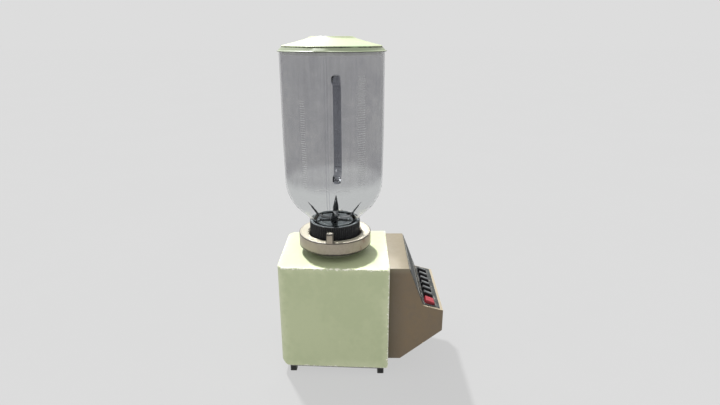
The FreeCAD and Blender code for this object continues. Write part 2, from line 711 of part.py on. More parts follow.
def make_collar():
    """Seat, collar ring with its two lugs, and the four screws that also hold the motor."""
    seat = ring("collar_seat_blank", s.collar_hole, s.seat_radius, s.case_top, s.collar_base)
    seat_holes = [rod(f"seat_hole_{i}", screw_hole, s.case_top - 1, s.collar_base + 1, x, y)
                  for i, (x, y) in enumerate(collar_screw_places)]
    keep(cut("collar_seat", seat, *seat_holes))
    floor_top = s.collar_base + s.collar_floor
    bowl = turned("collar_bowl", [
        (s.collar_hole, s.collar_base), (s.collar_radius, s.collar_base),
        (s.collar_radius, s.collar_top), (s.collar_bore, s.collar_top),
        (s.collar_bore, floor_top), (s.collar_hole, floor_top)])
    dress(bowl, "Fillet", s.crisp_edge, lambda edge: circle_at(edge, s.collar_radius, s.collar_top)
          or circle_at(edge, s.collar_radius, s.collar_base))
    lug_inner = s.collar_radius - s.lug_thick
    blank = box("lug_bar", -s.collar_radius - 1, s.collar_radius + 1, -s.lug_width / 2,
                s.lug_width / 2, s.collar_top - 4, s.lug_top)
    round_band = ring("lug_band", lug_inner, s.collar_radius, s.collar_top - 5, s.lug_top + 1)
    lugs = put(common("collar_lugs", blank, round_band), 0, 0, 0, -s.lug_angle, (0, 0, 1))
    head_radius = s.screw_radius * 1.7
    screw_cuts = []
    screws = []
    for i, (x, y) in enumerate(collar_screw_places):
        screw_cuts.append(rod(f"collar_hole_{i}", screw_hole, s.collar_base - 1, floor_top, x, y))
        screw_cuts.append(rod(f"collar_sink_{i}", head_radius + 0.1, floor_top - 2.4,
                              floor_top + 1, x, y))
        screws.append(rod(f"collar_screw_head_{i}", head_radius, floor_top - 2.4,
                          floor_top - 0.2, x, y))
        screws.append(rod(f"collar_screw_shank_{i}", s.screw_radius, s.bracket_high + 2,
                          floor_top - 2.4, x, y))
    keep(cut("collar_ring", fuse("collar_cast", bowl, lugs), *screw_cuts))
    keep(fuse("collar_screws", *screws))
    keep(ring("shaft_seal", s.shaft_radius + 0.4, s.collar_hole, ceiling, s.case_top + 1))


# ---------------------------------------------------------------- motor

bracket_top = s.bracket_high + s.bracket_thick
leg_in = s.core_half_x - s.leg_thick
leg_middle = leg_in + s.leg_thick / 2
leg_half = s.leg_thick


def make_stator():
    """Laminated stator with two frame-shaped field coils round its poles."""
    stack = block("stator_blank", -s.core_half_x, s.core_half_x, -s.core_half_y, s.core_half_y,
                  s.core_bottom, s.core_top)
    dress(stack, "Fillet", 4, lambda edge: runs_along(edge, (0, 0, 1)))
    bore = rod("stator_bore", s.core_bore, s.core_bottom - 1, s.core_top + 1)
    coil_in = s.core_bore + s.coil_off
    coil_out = coil_in + s.coil_thick
    slots = []
    for i, (side, end) in enumerate([(a, b) for a in (-1, 1) for b in (-1, 1)]):
        x0, x1 = sorted(((coil_in - s.coil_slack) * side, (coil_out + s.coil_slack) * side),
                        key=value_of)
        y0, y1 = sorted(((s.coil_inner_y - s.coil_slack) * end, (s.coil_outer_y + s.coil_slack) * end),
                        key=value_of)
        slots.append(box(f"stator_slot_{i}", x0, x1, y0, y1, s.core_bottom - 1, s.core_top + 1))
    screw_bores = [rod(f"stator_screw_bore_{i}", screw_hole, s.core_bottom - 1, s.core_top + 1, x, 0)
                   for i, x in enumerate((-leg_middle, leg_middle))]
    keep(cut("stator_core", stack, bore, *slots, *screw_bores))
    coils = []
    for i, side in enumerate((-1, 1)):
        x0, x1 = sorted((coil_in * side, coil_out * side), key=value_of)
        whole = box(f"coil_whole_{i}", x0, x1, -s.coil_outer_y, s.coil_outer_y,
                    s.core_bottom - s.coil_end, s.core_top + s.coil_end)
        window = box(f"coil_window_{i}", x0 - 1, x1 + 1, -s.coil_inner_y, s.coil_inner_y,
                     s.core_bottom - s.coil_slack, s.core_top + s.coil_slack)
        coils.append(cut(f"coil_{i}", whole, window))
    keep(fuse("field_coils", *coils))


def make_brackets():
    """Upper and lower end brackets with their bearings, spacers and the two long screws."""
    low_top = s.bracket_low + s.bearing_long
    legs_low = [box(f"low_leg_{i}", x, x + s.leg_thick, -leg_half, leg_half, s.bracket_low, s.core_bottom)
                for i, x in enumerate((-s.core_half_x, leg_in))]
    low_bar = box("low_bar", -s.core_half_x, s.core_half_x, -s.low_bar_half, s.low_bar_half,
                  s.bracket_low, low_top)
    low_bore = rod("low_bore", s.bearing_radius, s.bracket_low - 1, low_top + 1)
    low_holes = [rod(f"low_hole_{i}", screw_hole, s.bracket_low - 1, s.core_bottom + 1, x, 0)
                 for i, x in enumerate((-leg_middle, leg_middle))]
    keep(cut("motor_bracket_bottom", fuse("low_bracket", low_bar, *legs_low), low_bore, *low_holes))
    legs_high = [box(f"high_leg_{i}", x, x + s.leg_thick, -leg_half, leg_half, s.core_top, bracket_top)
                 for i, x in enumerate((-s.core_half_x, leg_in))]
    high_bar = box("high_bar", -s.core_half_x, s.core_half_x, -s.high_bar_half, s.high_bar_half,
                   s.bracket_high, bracket_top)
    high_bore = rod("high_bore", s.bearing_radius, s.bracket_high - 1, bracket_top + 1)
    high_holes = [rod(f"high_hole_{i}", screw_hole, s.core_top - 1, bracket_top - 2, x, 0)
                  for i, x in enumerate((-leg_middle, leg_middle))]
    high_holes += [rod(f"high_mount_hole_{i}", screw_hole, s.bracket_high - 1, bracket_top + 1, x, y)
                   for i, (x, y) in enumerate(collar_screw_places)]
    keep(cut("motor_bracket_top", fuse("high_bracket", high_bar, *legs_high), high_bore, *high_holes))
    bearing_bore = s.shaft_radius + s.running_gap
    keep(ring("bearing_bottom", bearing_bore, s.bearing_radius, s.bracket_low, low_top))
    keep(ring("bearing_top", bearing_bore, s.bearing_radius, s.bracket_high + 1,
              s.bracket_high + 1 + s.bearing_long))
    spacers = []
    for i, (x, y) in enumerate(collar_screw_places):
        outer = rod(f"spacer_outside_{i}", s.screw_radius * 2.4, bracket_top, ceiling, x, y)
        inner = rod(f"spacer_inside_{i}", screw_hole, bracket_top - 1, ceiling + 1, x, y)
        spacers.append(cut(f"spacer_{i}", outer, inner))
    keep(fuse("motor_mounts", *spacers))
    screws = []
    for i, x in enumerate((-leg_middle, leg_middle)):
        screws.append(rod(f"motor_screw_head_{i}", s.screw_radius * 1.8, s.bracket_low - 3,
                          s.bracket_low, x, 0))
        screws.append(rod(f"motor_screw_shank_{i}", s.screw_radius, s.bracket_low,
                          bracket_top - 3, x, 0))
    keep(fuse("motor_screws", *screws))


def make_rotor():
    """Shaft, slotted armature, end windings, commutator, fan and the drive coupling."""
    shaft_end = s.coupling_bottom + 4
    shaft = turned("motor_shaft", [(0, s.bracket_low - 2), (s.shaft_radius, s.bracket_low - 2),
                                   (s.shaft_radius, shaft_end), (0, shaft_end)])
    dress(shaft, "Chamfer", 0.6, lambda edge: circle_at(edge, s.shaft_radius, shaft_end)
          or circle_at(edge, s.shaft_radius, s.bracket_low - 2))
    keep(shaft)
    core = ring("armature_core", s.shaft_radius, s.armature_radius, s.core_bottom, s.core_top)
    slot_sketch = rectangle(core, "XY_Plane", s.armature_radius - 7, s.armature_radius + 1,
                            -1.5, 1.5, s.core_bottom)
    slot = core.newObject("PartDesign::Pocket", "armature_slot")
    slot.Profile = slot_sketch
    slot.Reversed = True
    bind(slot, "Length", s.core_top - s.core_bottom)
    doc.recompute()
    round_row = core.newObject("PartDesign::PolarPattern", "armature_slots")
    round_row.Originals = [slot]
    round_row.Axis = (slot_sketch, ["N_Axis"])
    round_row.Angle = 360
    bind(round_row, "Occurrences", s.armature_slots)
    core.Tip = round_row
    keep(core)
    wound = s.armature_radius - 3
    low = ring("winding_low", s.shaft_radius, wound, s.core_bottom - s.winding_end, s.core_bottom)
    high = ring("winding_high", s.shaft_radius, wound, s.core_top, s.core_top + s.winding_end)
    keep(fuse("armature_windings", low, high))
    segments_low = s.core_top + s.commutator_low
    keep(ring("commutator", s.shaft_radius, s.commutator_radius, segments_low,
              segments_low + s.commutator_long))
    fan_top = s.fan_bottom + s.fan_high
    hub = ring("fan_hub", s.shaft_radius, s.fan_hub, s.fan_bottom, fan_top)
    disc = ring("fan_disc", s.fan_hub - 1, s.fan_radius, s.fan_bottom, s.fan_bottom + s.fan_web)
    vanes = []
    vane_count = 8
    for i in range(vane_count):
        turn = 360 / vane_count * i
        start = s.fan_hub - 2
        half = s.fan_web / 2
        vane = box(f"fan_vane_{i}", start, s.fan_radius - 0.5, -half, half, s.fan_bottom, fan_top)
        put(vane, start * cosine(turn) + half * sine(turn), start * sine(turn) - half * cosine(turn),
            s.fan_bottom, turn)
        vanes.append(vane)
    keep(fuse("cooling_fan", hub, disc, *vanes))
    cup = turned("coupling_cup", [(0, s.coupling_bottom), (s.coupling_radius, s.coupling_bottom),
                                  (s.coupling_radius, s.coupling_top), (0, s.coupling_top)])
    dress(cup, "Chamfer", 1, lambda edge: circle_at(edge, s.coupling_radius, s.coupling_top))
    shaft_bore = rod("coupling_shaft_bore", s.shaft_radius, s.coupling_bottom - 1, shaft_end)
    socket = six_sided("coupling_socket", s.drive_corner + s.drive_gap, shaft_end - 1,
                       s.coupling_top + 1)
    keep(cut("drive_coupling", cup, shaft_bore, socket))


def make_brushes():
    """Two brush boxes hung from the upper bracket, with a carbon and a spring in each."""
    middle = s.core_top + s.brush_lift
    shell_half = s.brush_half + s.brush_shell
    holders = []
    carbons = []
    springs = []

    def span(side, near, far):
        """The two y limits, in order, of a piece between two distances from the commutator."""
        ends = ((s.commutator_radius + near) * side, (s.commutator_radius + far) * side)
        return sorted(ends, key=value_of)

    for i, side in enumerate((-1, 1)):
        y0, y1 = span(side, s.brush_start, s.brush_end)
        shell = box(f"brush_box_{i}", -shell_half, shell_half, y0, y1,
                    middle - shell_half, middle + shell_half)
        room = box(f"brush_room_{i}", -s.brush_half, s.brush_half, y0 - 1, y1 + 1,
                   middle - s.brush_half, middle + s.brush_half)
        t0, t1 = span(side, s.brush_start * 2, s.brush_start * 3)
        tab = box(f"brush_tab_{i}", -s.brush_half - 1, s.brush_half + 1, t0, t1,
                  middle + shell_half - 1, s.bracket_high)
        holders.append(fuse(f"brush_holder_{i}", cut(f"brush_shell_{i}", shell, room), tab))
        c0, c1 = span(side, s.body_gap, s.carbon_end)
        carbons.append(box(f"carbon_{i}", -s.brush_half, s.brush_half, c0, c1,
                           middle - s.brush_half, middle + s.brush_half))
        p0, p1 = span(side, s.carbon_end, s.brush_end)
        springs.append(rod(f"brush_spring_{i}", s.brush_half - 0.4, p0, p1, z=middle, axis="y"))
    keep(fuse("brush_holders", *holders))
    keep(fuse("carbon_brushes", *carbons))
    keep(fuse("brush_springs", *springs))


def make_cord_gland():
    """Flanged gland low on the rear wall, bored for the mains cord."""
    place = {"x": s.gland_x, "z": s.gland_z, "axis": "y"}
    flange_end = half_depth + 6
    neck = rod("gland_neck", s.gland_radius, inner_y - 3, half_depth, **place)
    flange = rod("gland_flange", s.gland_radius * 1.6, half_depth, flange_end, **place)
    bore = rod("gland_bore", s.gland_radius * 0.6, inner_y - 4, flange_end + 1, **place)
    keep(cut("cord_gland", fuse("gland_blank", neck, flange), bore))


# ---------------------------------------------------------------- jar

inner_neck_z = s.cone_height + (s.jar_wall * math.sqrt(2) - (s.neck_radius - s.neck_bore))
side_slope = (s.jar_radius - s.jar_low_radius) / (s.jar_taper_top - s.jar_taper_bottom)
knee_up = ((s.jar_low_radius - s.neck_radius - side_slope * (s.jar_taper_bottom - s.cone_height))
           / (1 - side_slope))
knee_r = s.neck_radius + knee_up
knee_z = s.cone_height + knee_up
inner_shift = s.jar_wall * (math.sqrt(2) - 1)


def jar_outline(solid):
    """Neck, 45 degree cone, faintly tapered side; solid for the outside alone."""
    outside = [(s.neck_radius, s.neck_bottom), (s.neck_radius, s.cone_height), (knee_r, knee_z),
               (s.jar_radius, s.jar_taper_top), (s.jar_radius, s.jar_top)]
    if solid:
        return [(0, s.neck_bottom)] + outside + [(0, s.jar_top)]
    inside = [(s.jar_radius - s.jar_wall, s.jar_top), (s.jar_radius - s.jar_wall, s.jar_taper_top),
              (knee_r - s.jar_wall, knee_z + inner_shift), (s.neck_bore, inner_neck_z),
              (s.neck_bore, s.neck_bottom)]
    return outside + inside


def round_knee(body, radius, knee_radius, height):
    dress(body, "Fillet", radius, lambda edge: circle_at(edge, knee_radius, height))


def make_jar():
    """Glass jar with a pouring spout, and the handle on the opposite side."""
    glass = turned("jar_glass", jar_outline(solid=False))
    round_knee(glass, s.jar_round, knee_r, knee_z)
    round_knee(glass, s.jar_round - s.jar_wall, knee_r - s.jar_wall, knee_z + inner_shift)
    spout_bottom = s.jar_top - s.spout_depth
    lip = cone("spout_outside", 1, s.spout_radius, spout_bottom, s.jar_top, -s.spout_centre)
    pour = cone("spout_inside", 0.5, s.spout_radius - s.jar_wall, spout_bottom + 6, s.jar_top + 0.01,
                -s.spout_centre)
    room = ring("spout_room", 0, s.jar_radius - s.jar_wall, spout_bottom, s.jar_top)
    outer_lip = cut("spout_lip", lip, room)
    keep(cut("jar", fuse("jar_with_lip", glass, outer_lip), pour))

    outside = turned("jar_envelope", jar_outline(solid=True))
    round_knee(outside, s.jar_round, knee_r, knee_z)
    grip = new_body("grip_blank")
    grip_in = s.grip_out - s.grip_thick
    reach_in = s.jar_radius - s.grip_thick
    pad(grip, outline(grip, "XZ_Plane", [
        (reach_in, s.grip_top), (s.grip_out, s.grip_top), (s.grip_out, s.grip_bottom + s.grip_corner),
        (s.grip_out - s.grip_corner, s.grip_bottom), (reach_in - 4, s.grip_bottom),
        (reach_in - 4, s.grip_bottom + s.grip_thick), (grip_in - 6, s.grip_bottom + s.grip_thick),
        (grip_in, s.grip_bottom + s.grip_thick + 6), (grip_in, s.grip_top - s.grip_thick),
        (reach_in, s.grip_top - s.grip_thick)]), s.grip_width, midplane=True)
    dress(grip, "Fillet", s.grip_thick * 0.8,
          lambda edge: runs_along(edge, (0, 1, 0)) and edge.CenterOfMass.z > value_of(s.grip_top) - 1
          and edge.CenterOfMass.x > value_of(s.grip_out) - 1)
    dress(grip, "Fillet", s.grip_width * 0.28,
          lambda edge: edge.CenterOfMass.x > value_of(s.jar_radius) - 4
          and abs(abs(edge.CenterOfMass.y) - value_of(s.grip_width) / 2) < 1e-3)
    keep(cut("jar_handle", grip, outside))


def make_jar_base():
    """Nut, gasket, blade holder with its bush and seal: all screwed under the jar."""
    nut = turned("jar_nut", [
        (s.nut_hole, s.nut_bottom), (s.nut_radius, s.nut_bottom), (s.nut_radius, s.nut_top),
        (s.neck_radius + 0.4, s.nut_top), (s.neck_radius + 0.4, s.nut_floor),
        (s.nut_hole, s.nut_floor)])
    dress(nut, "Chamfer", 0.8, lambda edge: circle_at(edge, s.nut_radius, s.nut_top)
          or circle_at(edge, s.nut_radius, s.nut_bottom))
    keep(nut)
    flange_top = s.nut_floor + s.holder_flange
    keep(ring("jar_gasket", s.neck_bore, s.neck_radius, flange_top, s.neck_bottom))
    keep(turned("blade_holder", [
        (s.bush_radius, s.nut_floor), (s.neck_radius, s.nut_floor), (s.neck_radius, flange_top),
        (s.holder_radius, flange_top), (s.holder_radius, s.holder_top),
        (s.bush_radius, s.holder_top)]))
    bore = s.spindle_radius + s.running_gap
    seal_bottom = s.holder_top - 3
    bush_bottom = s.nut_floor - 1.7
    keep(turned("spindle_bush", [
        (bore, bush_bottom), (s.bush_radius + 3, bush_bottom), (s.bush_radius + 3, s.nut_floor),
        (s.bush_radius, s.nut_floor), (s.bush_radius, seal_bottom), (bore, seal_bottom)]))
    keep(ring("spindle_seal", bore + 0.2, s.bush_radius, seal_bottom, s.holder_top))


def make_blade(name, lift, turn):
    """A strip bent up at both ends, cut to pointed tips and bored for the spindle."""
    low = s.blade_plane + lift
    high = low + s.blade_thick
    strip = new_body(f"{name}_strip")
    wide = s.blade_thick * 0.45
    pad(strip, outline(strip, "XZ_Plane", [
        (-s.blade_bend, low), (s.blade_bend, low),
        (s.blade_reach, low + s.blade_rise), (s.blade_reach - s.blade_thick, high + s.blade_rise),
        (s.blade_bend - wide, high), (-s.blade_bend + wide, high),
        (-s.blade_reach + s.blade_thick, high + s.blade_rise),
        (-s.blade_reach, low + s.blade_rise)]), s.blade_width, midplane=True)
    plan = new_body(f"{name}_plan")
    half = s.blade_width / 2
    tip = s.blade_reach + 1
    pad(plan, outline(plan, "XY_Plane", [
        (-tip, -0.3), (-s.blade_bend, -half * 0.8), (0, -half), (s.blade_bend, -half * 0.8),
        (tip, -0.3), (tip, 0.3), (s.blade_bend, half * 0.8), (0, half),
        (-s.blade_bend, half * 0.8), (-tip, 0.3)], low - 1), s.blade_rise + 6)
    bore = rod(f"{name}_bore", s.stub_radius, low - 1, high + 1)
    blade = cut(name, common(f"{name}_blank", strip, plan), bore)
    keep(put(blade, 0, 0, 0, turn, (0, 0, 1)))


def make_blade_unit():
    """Spindle, two crossed blades, their nut and the six-sided driven coupling."""
    shoulder = s.holder_top + s.body_gap
    stack_top = s.blade_plane + s.blade_thick * 2
    nut_top = stack_top + s.blade_nut_high
    spindle_bottom = s.coupling_top - 1
    keep(turned("blade_spindle", [
        (0, spindle_bottom), (s.spindle_radius, spindle_bottom), (s.spindle_radius, shoulder),
        (s.spindle_radius + 1.6, shoulder), (s.spindle_radius + 1.6, s.blade_plane),
        (s.stub_radius, s.blade_plane), (s.stub_radius, nut_top), (0, nut_top)]))
    make_blade("blade_lower", 0, 0)
    make_blade("blade_upper", s.blade_thick, 90)
    hexagon = six_sided("blade_nut_hexagon", s.blade_nut_corner, stack_top, nut_top)
    dome = cone("blade_nut_dome", s.stub_radius + 0.6, s.stub_radius - 0.6, nut_top,
                nut_top + s.blade_nut_dome)
    thread = rod("blade_nut_bore", s.stub_radius, stack_top - 1, nut_top)
    keep(cut("blade_nut", fuse("blade_nut_blank", hexagon, dome), thread))
    pin = six_sided("driven_pin", s.drive_corner, s.coupling_bottom + 5, s.coupling_top + 1)
    collar = rod("driven_collar", s.spindle_radius + 5, s.coupling_top + 0.8, s.nut_floor - 2.2)
    bore = rod("driven_bore", s.spindle_radius, spindle_bottom, s.nut_floor)
    keep(cut("driven_coupling", fuse("driven_blank", pin, collar), bore))


# ---------------------------------------------------------------- lid

def make_lid():
    """Lid with a tapered rim, a plug inside the jar, and a recess for the filler cap."""
    plug_out = s.jar_radius - s.jar_wall - s.body_gap
    plug_bottom = s.lid_bottom - s.lid_plug
    cap_floor = s.cap_top - s.cap_rim
    hole = s.cap_plug + s.body_gap
    recess = s.cap_radius + s.body_gap
    crown = cap_floor - s.body_gap
    step_z = s.lid_shoulder + s.lid_step
    crown_r = s.lid_shoulder_radius - s.crown_in
    crown_z = s.lid_shoulder + s.crown_rise
    lip_top = s.cap_top - s.cap_lip
    inner = plug_out - s.lid_wall
    keep(turned("lid", [
        (s.lid_radius, s.lid_bottom), (s.lid_shoulder_radius, s.lid_shoulder),
        (s.lid_shoulder_radius - 0.5, step_z), (crown_r, crown_z),
        (recess + 5, crown + 0.6), (recess + s.cap_lip, lip_top), (recess, lip_top),
        (recess, crown), (hole, crown), (hole, crown - 4), (recess, crown - s.lid_wall - 1),
        (crown_r, crown_z - s.lid_wall), (inner, step_z - s.lid_wall), (inner, plug_bottom),
        (plug_out, plug_bottom), (plug_out, s.lid_bottom)]))
    plug_end = cap_floor - s.cap_plug_deep
    cap_inner = s.cap_plug - s.lid_wall
    keep(turned("filler_cap", [
        (0, s.cap_top), (s.cap_radius, s.cap_top), (s.cap_radius, cap_floor),
        (s.cap_plug, cap_floor), (s.cap_plug, plug_end), (cap_inner, plug_end),
        (cap_inner, cap_floor), (0, cap_floor)]))


# ---------------------------------------------------------------- build, check and write

make_casing()
make_bottom_plate()
make_feet()
make_console()
make_panel_plates()
make_keys()
make_switch()
make_collar()
make_stator()
make_brackets()
make_rotor()
make_brushes()
make_cord_gland()
make_jar()
make_jar_base()
make_blade_unit()
make_lid()
doc.recompute()

for item in doc.Objects:
    if "Invalid" in item.State or "Error" in item.State:
        raise RuntimeError(f"{item.Label} failed: {item.State}")
for piece in pieces:
    if piece.Shape.isNull() or not piece.Shape.isValid() or not piece.Shape.Solids:
        raise RuntimeError(f"{piece.Label} has no sound solid")
for piece in pieces:
    piece.Shape.exportStep(f"parts/{piece.Label}.step")
print(len(pieces), "sub-parts written")
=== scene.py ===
"""Countertop blender: shown pieces, finishes, floor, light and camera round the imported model.

Laid out as an add-on. Sizes and colours are properties, each group of like pieces has an operator, and
a panel in the sidebar lists them. Lengths are metres in the model's own frame: +Z up, the motor's axis
on Z, the console towards -Y and the jar's spout towards -X.
"""
import json
import math
from collections import namedtuple

import bmesh
import bpy
import numpy as np
from bpy.props import FloatProperty, FloatVectorProperty, IntProperty, PointerProperty
from mathutils import Matrix, Vector


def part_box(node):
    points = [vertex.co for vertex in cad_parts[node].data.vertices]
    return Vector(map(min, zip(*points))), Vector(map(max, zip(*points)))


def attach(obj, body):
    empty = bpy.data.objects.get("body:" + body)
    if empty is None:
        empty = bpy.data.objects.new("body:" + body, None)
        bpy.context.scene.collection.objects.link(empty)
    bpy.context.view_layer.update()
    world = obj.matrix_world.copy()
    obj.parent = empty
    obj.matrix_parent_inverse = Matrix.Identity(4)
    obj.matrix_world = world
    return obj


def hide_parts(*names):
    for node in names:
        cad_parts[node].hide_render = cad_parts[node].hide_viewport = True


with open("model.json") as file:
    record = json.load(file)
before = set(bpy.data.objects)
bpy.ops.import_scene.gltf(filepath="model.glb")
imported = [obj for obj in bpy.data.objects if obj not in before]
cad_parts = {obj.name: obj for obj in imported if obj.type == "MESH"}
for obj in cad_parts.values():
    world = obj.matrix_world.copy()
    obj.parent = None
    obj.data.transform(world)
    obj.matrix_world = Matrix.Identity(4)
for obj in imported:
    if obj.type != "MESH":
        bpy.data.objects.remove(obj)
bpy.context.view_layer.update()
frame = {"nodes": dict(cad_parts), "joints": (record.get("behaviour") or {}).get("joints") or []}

bl_info = {
    "name": "Countertop blender",
    "version": (1, 0, 0),
    "blender": (4, 5, 0),
    "location": "View3D > Sidebar > Blender",
    "description": "Builds a countertop blender with its finishes round the packed model",
    "category": "Object",
}

MM = 0.001
ARC_STEPS = 6
GUARD = 2 * MM
SHARP = math.radians(34)
SIDE_LEVELS = 6
FULL_WEAR = 600
TURN = 2 * math.pi

Skin = namedtuple("Skin", "points quads tris")


# ---------------------------------------------------------------- surfaces as arrays

def closed_skin(points, quads, tris):
    """A solid with its faces outwards: where the sum of a . (b x c) / 6 is negative, all are turned round."""
    triangles = np.concatenate([quads[:, [0, 1, 2]], quads[:, [0, 2, 3]], tris])
    a, b, c = (points[triangles[:, corner]] for corner in range(3))
    if np.einsum("ij,ij->", a, np.cross(b, c)) < 0:
        quads, tris = quads[:, ::-1], tris[:, ::-1]
    return Skin(points, quads, tris)


def loft(rings, wrap=False):
    """Solid through closed rings, an array (rows, columns, 3): neighbours are joined by quads.

    With wrap the last ring joins the first, as round a hole; without it a fan closes each end ring at
    the mean of its points.
    """
    rows, columns = rings.shape[:2]
    points = rings.reshape(-1, 3)
    i = np.arange(rows if wrap else rows - 1)[:, None] + np.zeros(columns, int)
    j = np.arange(columns) + np.zeros_like(i)
    up, along = (i + 1) % rows, (j + 1) % columns
    corners = [i * columns + j, i * columns + along, up * columns + along, up * columns + j]
    quads = np.stack(corners, -1).reshape(-1, 4)
    tris = np.empty((0, 3), int)
    if not wrap:
        here = np.arange(columns)
        there = (here + 1) % columns
        top = (rows - 1) * columns
        middle = np.full(columns, rows * columns)
        tris = np.concatenate([np.stack([middle, there, here], -1),
                               np.stack([middle + 1, top + here, top + there], -1)])
        points = np.concatenate([points, rings[:1].mean(1), rings[-1:].mean(1)])
    return closed_skin(points, quads, tris)


def around(radius, t, z):
    """Points (r cos t, r sin t, z) from arrays of radius, angle and height."""
    return np.stack([radius * np.cos(t), radius * np.sin(t), z + 0 * t], -1)


def at_height(path, height):
    """A flat outline's points in space, at one height or each at its own."""
    return np.column_stack([path, np.broadcast_to(height, len(path))])


def together(*skins):
    """Several solids as one set of points and faces, each solid's indices moved past the last one's."""
    starts = np.cumsum([0] + [len(skin.points) for skin in skins[:-1]])
    return Skin(np.concatenate([skin.points for skin in skins]),
                np.concatenate([skin.quads + start for skin, start in zip(skins, starts)]),
                np.concatenate([skin.tris + start for skin, start in zip(skins, starts)]))


def placed(skin, turn=None, offset=(0, 0, 0)):
    """The solid with every point multiplied by a turn matrix and moved by an offset."""
    turn = np.eye(3) if turn is None else np.array(turn)
    return Skin(skin.points @ turn.T + np.array(offset), skin.quads, skin.tris)


def rounded_path(corners, radii, closed=True, guard=GUARD):
    """Outline through corners, each replaced by an arc that touches both its sides.

    A point of the arc is centre + start cos t + side sin t, for t in equal steps up to the turn at that
    corner. One more point on each side of the arc keeps wear and shading close to the edge.
    """
    corners = np.asarray(corners, float)
    count = len(corners)
    radii = np.broadcast_to(radii, count)
    pieces = []
    for k, here in enumerate(corners):
        if radii[k] == 0 or (not closed and k in (0, count - 1)):
            pieces.append(here[None])
            continue
        back, ahead = corners[k - 1] - here, corners[(k + 1) % count] - here
        back_length, ahead_length = np.linalg.norm(back), np.linalg.norm(ahead)
        back, ahead = back / back_length, ahead / ahead_length
        half = math.acos(np.clip(back @ ahead, -1, 1)) / 2
        run = min(radii[k] / math.tan(half), 0.45 * min(back_length, ahead_length))
        centre = here + (back + ahead) / np.linalg.norm(back + ahead) * run / math.cos(half)
        first, last = here + back * run - centre, here + ahead * run - centre
        sweep = math.atan2(first[0] * last[1] - first[1] * last[0], first @ last)
        t = np.linspace(0, sweep, ARC_STEPS + 1)[:, None]
        side = np.array([-first[1], first[0]])
        arc = centre + first * np.cos(t) + side * np.sin(t)
        before = here + back * (run + min(guard, 0.04 * back_length))
        after = here + ahead * (run + min(guard, 0.04 * ahead_length))
        pieces += [before[None], arc, after[None]]
    return np.vstack(pieces)


def inward(path):
    """Unit normals into an outline that runs anticlockwise: its tangent turned a quarter left."""
    tangent = np.roll(path, -1, 0) - np.roll(path, 1, 0)
    tangent /= np.linalg.norm(tangent, axis=1)[:, None]
    return np.stack([-tangent[:, 1], tangent[:, 0]], -1)


def slab(path, stations):
    """Solid over an outline: at each station (height, inset) the outline is moved inwards by inset."""
    normals = inward(path)
    return loft(np.array([at_height(path + normals * inset, height) for height, inset in stations]))


def edge_stations(low, high, low_round, high_round):
    """Heights and insets up a slab whose two edges are quarter circles: r (1 - sin t), r (1 - cos t)."""
    t = np.linspace(math.pi / 2, 0, ARC_STEPS + 1)
    lower = np.column_stack([low + low_round * (1 - np.sin(t)), low_round * (1 - np.cos(t))])
    upper = np.column_stack([high - high_round * (1 - np.sin(t)), high_round * (1 - np.cos(t))])[::-1]
    guard = min(GUARD, 0.1 * (high - low))
    return np.vstack([[low, low_round * 1.25], lower, [low + low_round + guard, 0],
                      [high - high_round - guard, 0], upper, [high, high_round * 1.25]])


def rectangle(x0, x1, y0, y1, radii, inset=0.0, taper=0.0):
    """Anticlockwise rounded rectangle, moved inwards by inset; radii start at the corner (x0, y0).

    Each side leans in by taper from y0 to y1.
    """
    radii = np.maximum(np.broadcast_to(radii, 4) - inset, 0.1 * MM)
    x0, x1, y0, y1 = x0 + inset, x1 - inset, y0 + inset, y1 - inset
    return rounded_path([(x0, y0), (x1, y0), (x1 - taper, y1), (x0 + taper, y1)], radii)


def lathe(profile, count=128, wrap=True):
    """Surface of revolution: (r cos t, r sin t, z) for each point (r, z) of the profile and angle t."""
    t = np.arange(count) * TURN / count
    r, z = profile[:, :1], profile[:, 1:]
    return loft(around(r, t, z), wrap)


def carried(outline, path):
    """Solid of an outline carried along a path in the XZ plane: the outline's first axis lies along the
    path's normal and its second along Y."""
    ahead = np.gradient(path, axis=0)
    ahead /= np.linalg.norm(ahead, axis=1)[:, None]
    normal = np.stack([-ahead[:, 1], 0 * ahead[:, 0], ahead[:, 0]], -1)
    middle = np.stack([path[:, 0], 0 * path[:, 0], path[:, 1]], -1)
    return loft(middle[:, None] + outline[:, :1] * normal[:, None] + outline[:, 1:] * np.array([0, 1, 0]))


def smoothstep(low, high, value):
    """0 below low, 1 above high and 3 u^2 - 2 u^3 between."""
    u = np.clip((value - low) / (high - low), 0, 1)
    return u * u * (3 - 2 * u)


# ---------------------------------------------------------------- pieces from surfaces

def mark_edges(mesh):
    """Point attribute "edge": the strongest curvature 2 n . d / |d| towards a neighbour, over FULL_WEAR."""
    points = np.empty(len(mesh.vertices) * 3)
    normals = np.empty_like(points)
    ends = np.empty(len(mesh.edges) * 2, int)
    mesh.vertices.foreach_get("co", points)
    mesh.vertices.foreach_get("normal", normals)
    mesh.edges.foreach_get("vertices", ends)
    points, normals, ends = points.reshape(-1, 3), normals.reshape(-1, 3), ends.reshape(-1, 2)
    curvature = np.zeros(len(points))
    for here, there in ((0, 1), (1, 0)):
        away = points[ends[:, here]] - points[ends[:, there]]
        length = np.maximum(np.linalg.norm(away, axis=1), 1e-7)
        bend = 2 * np.einsum("ij,ij->i", normals[ends[:, here]], away) / length ** 2
        np.maximum.at(curvature, ends[:, here], bend)
    layer = mesh.attributes.new("edge", "FLOAT", "POINT")
    layer.data.foreach_set("value", np.clip(curvature / FULL_WEAR, 0, 1))


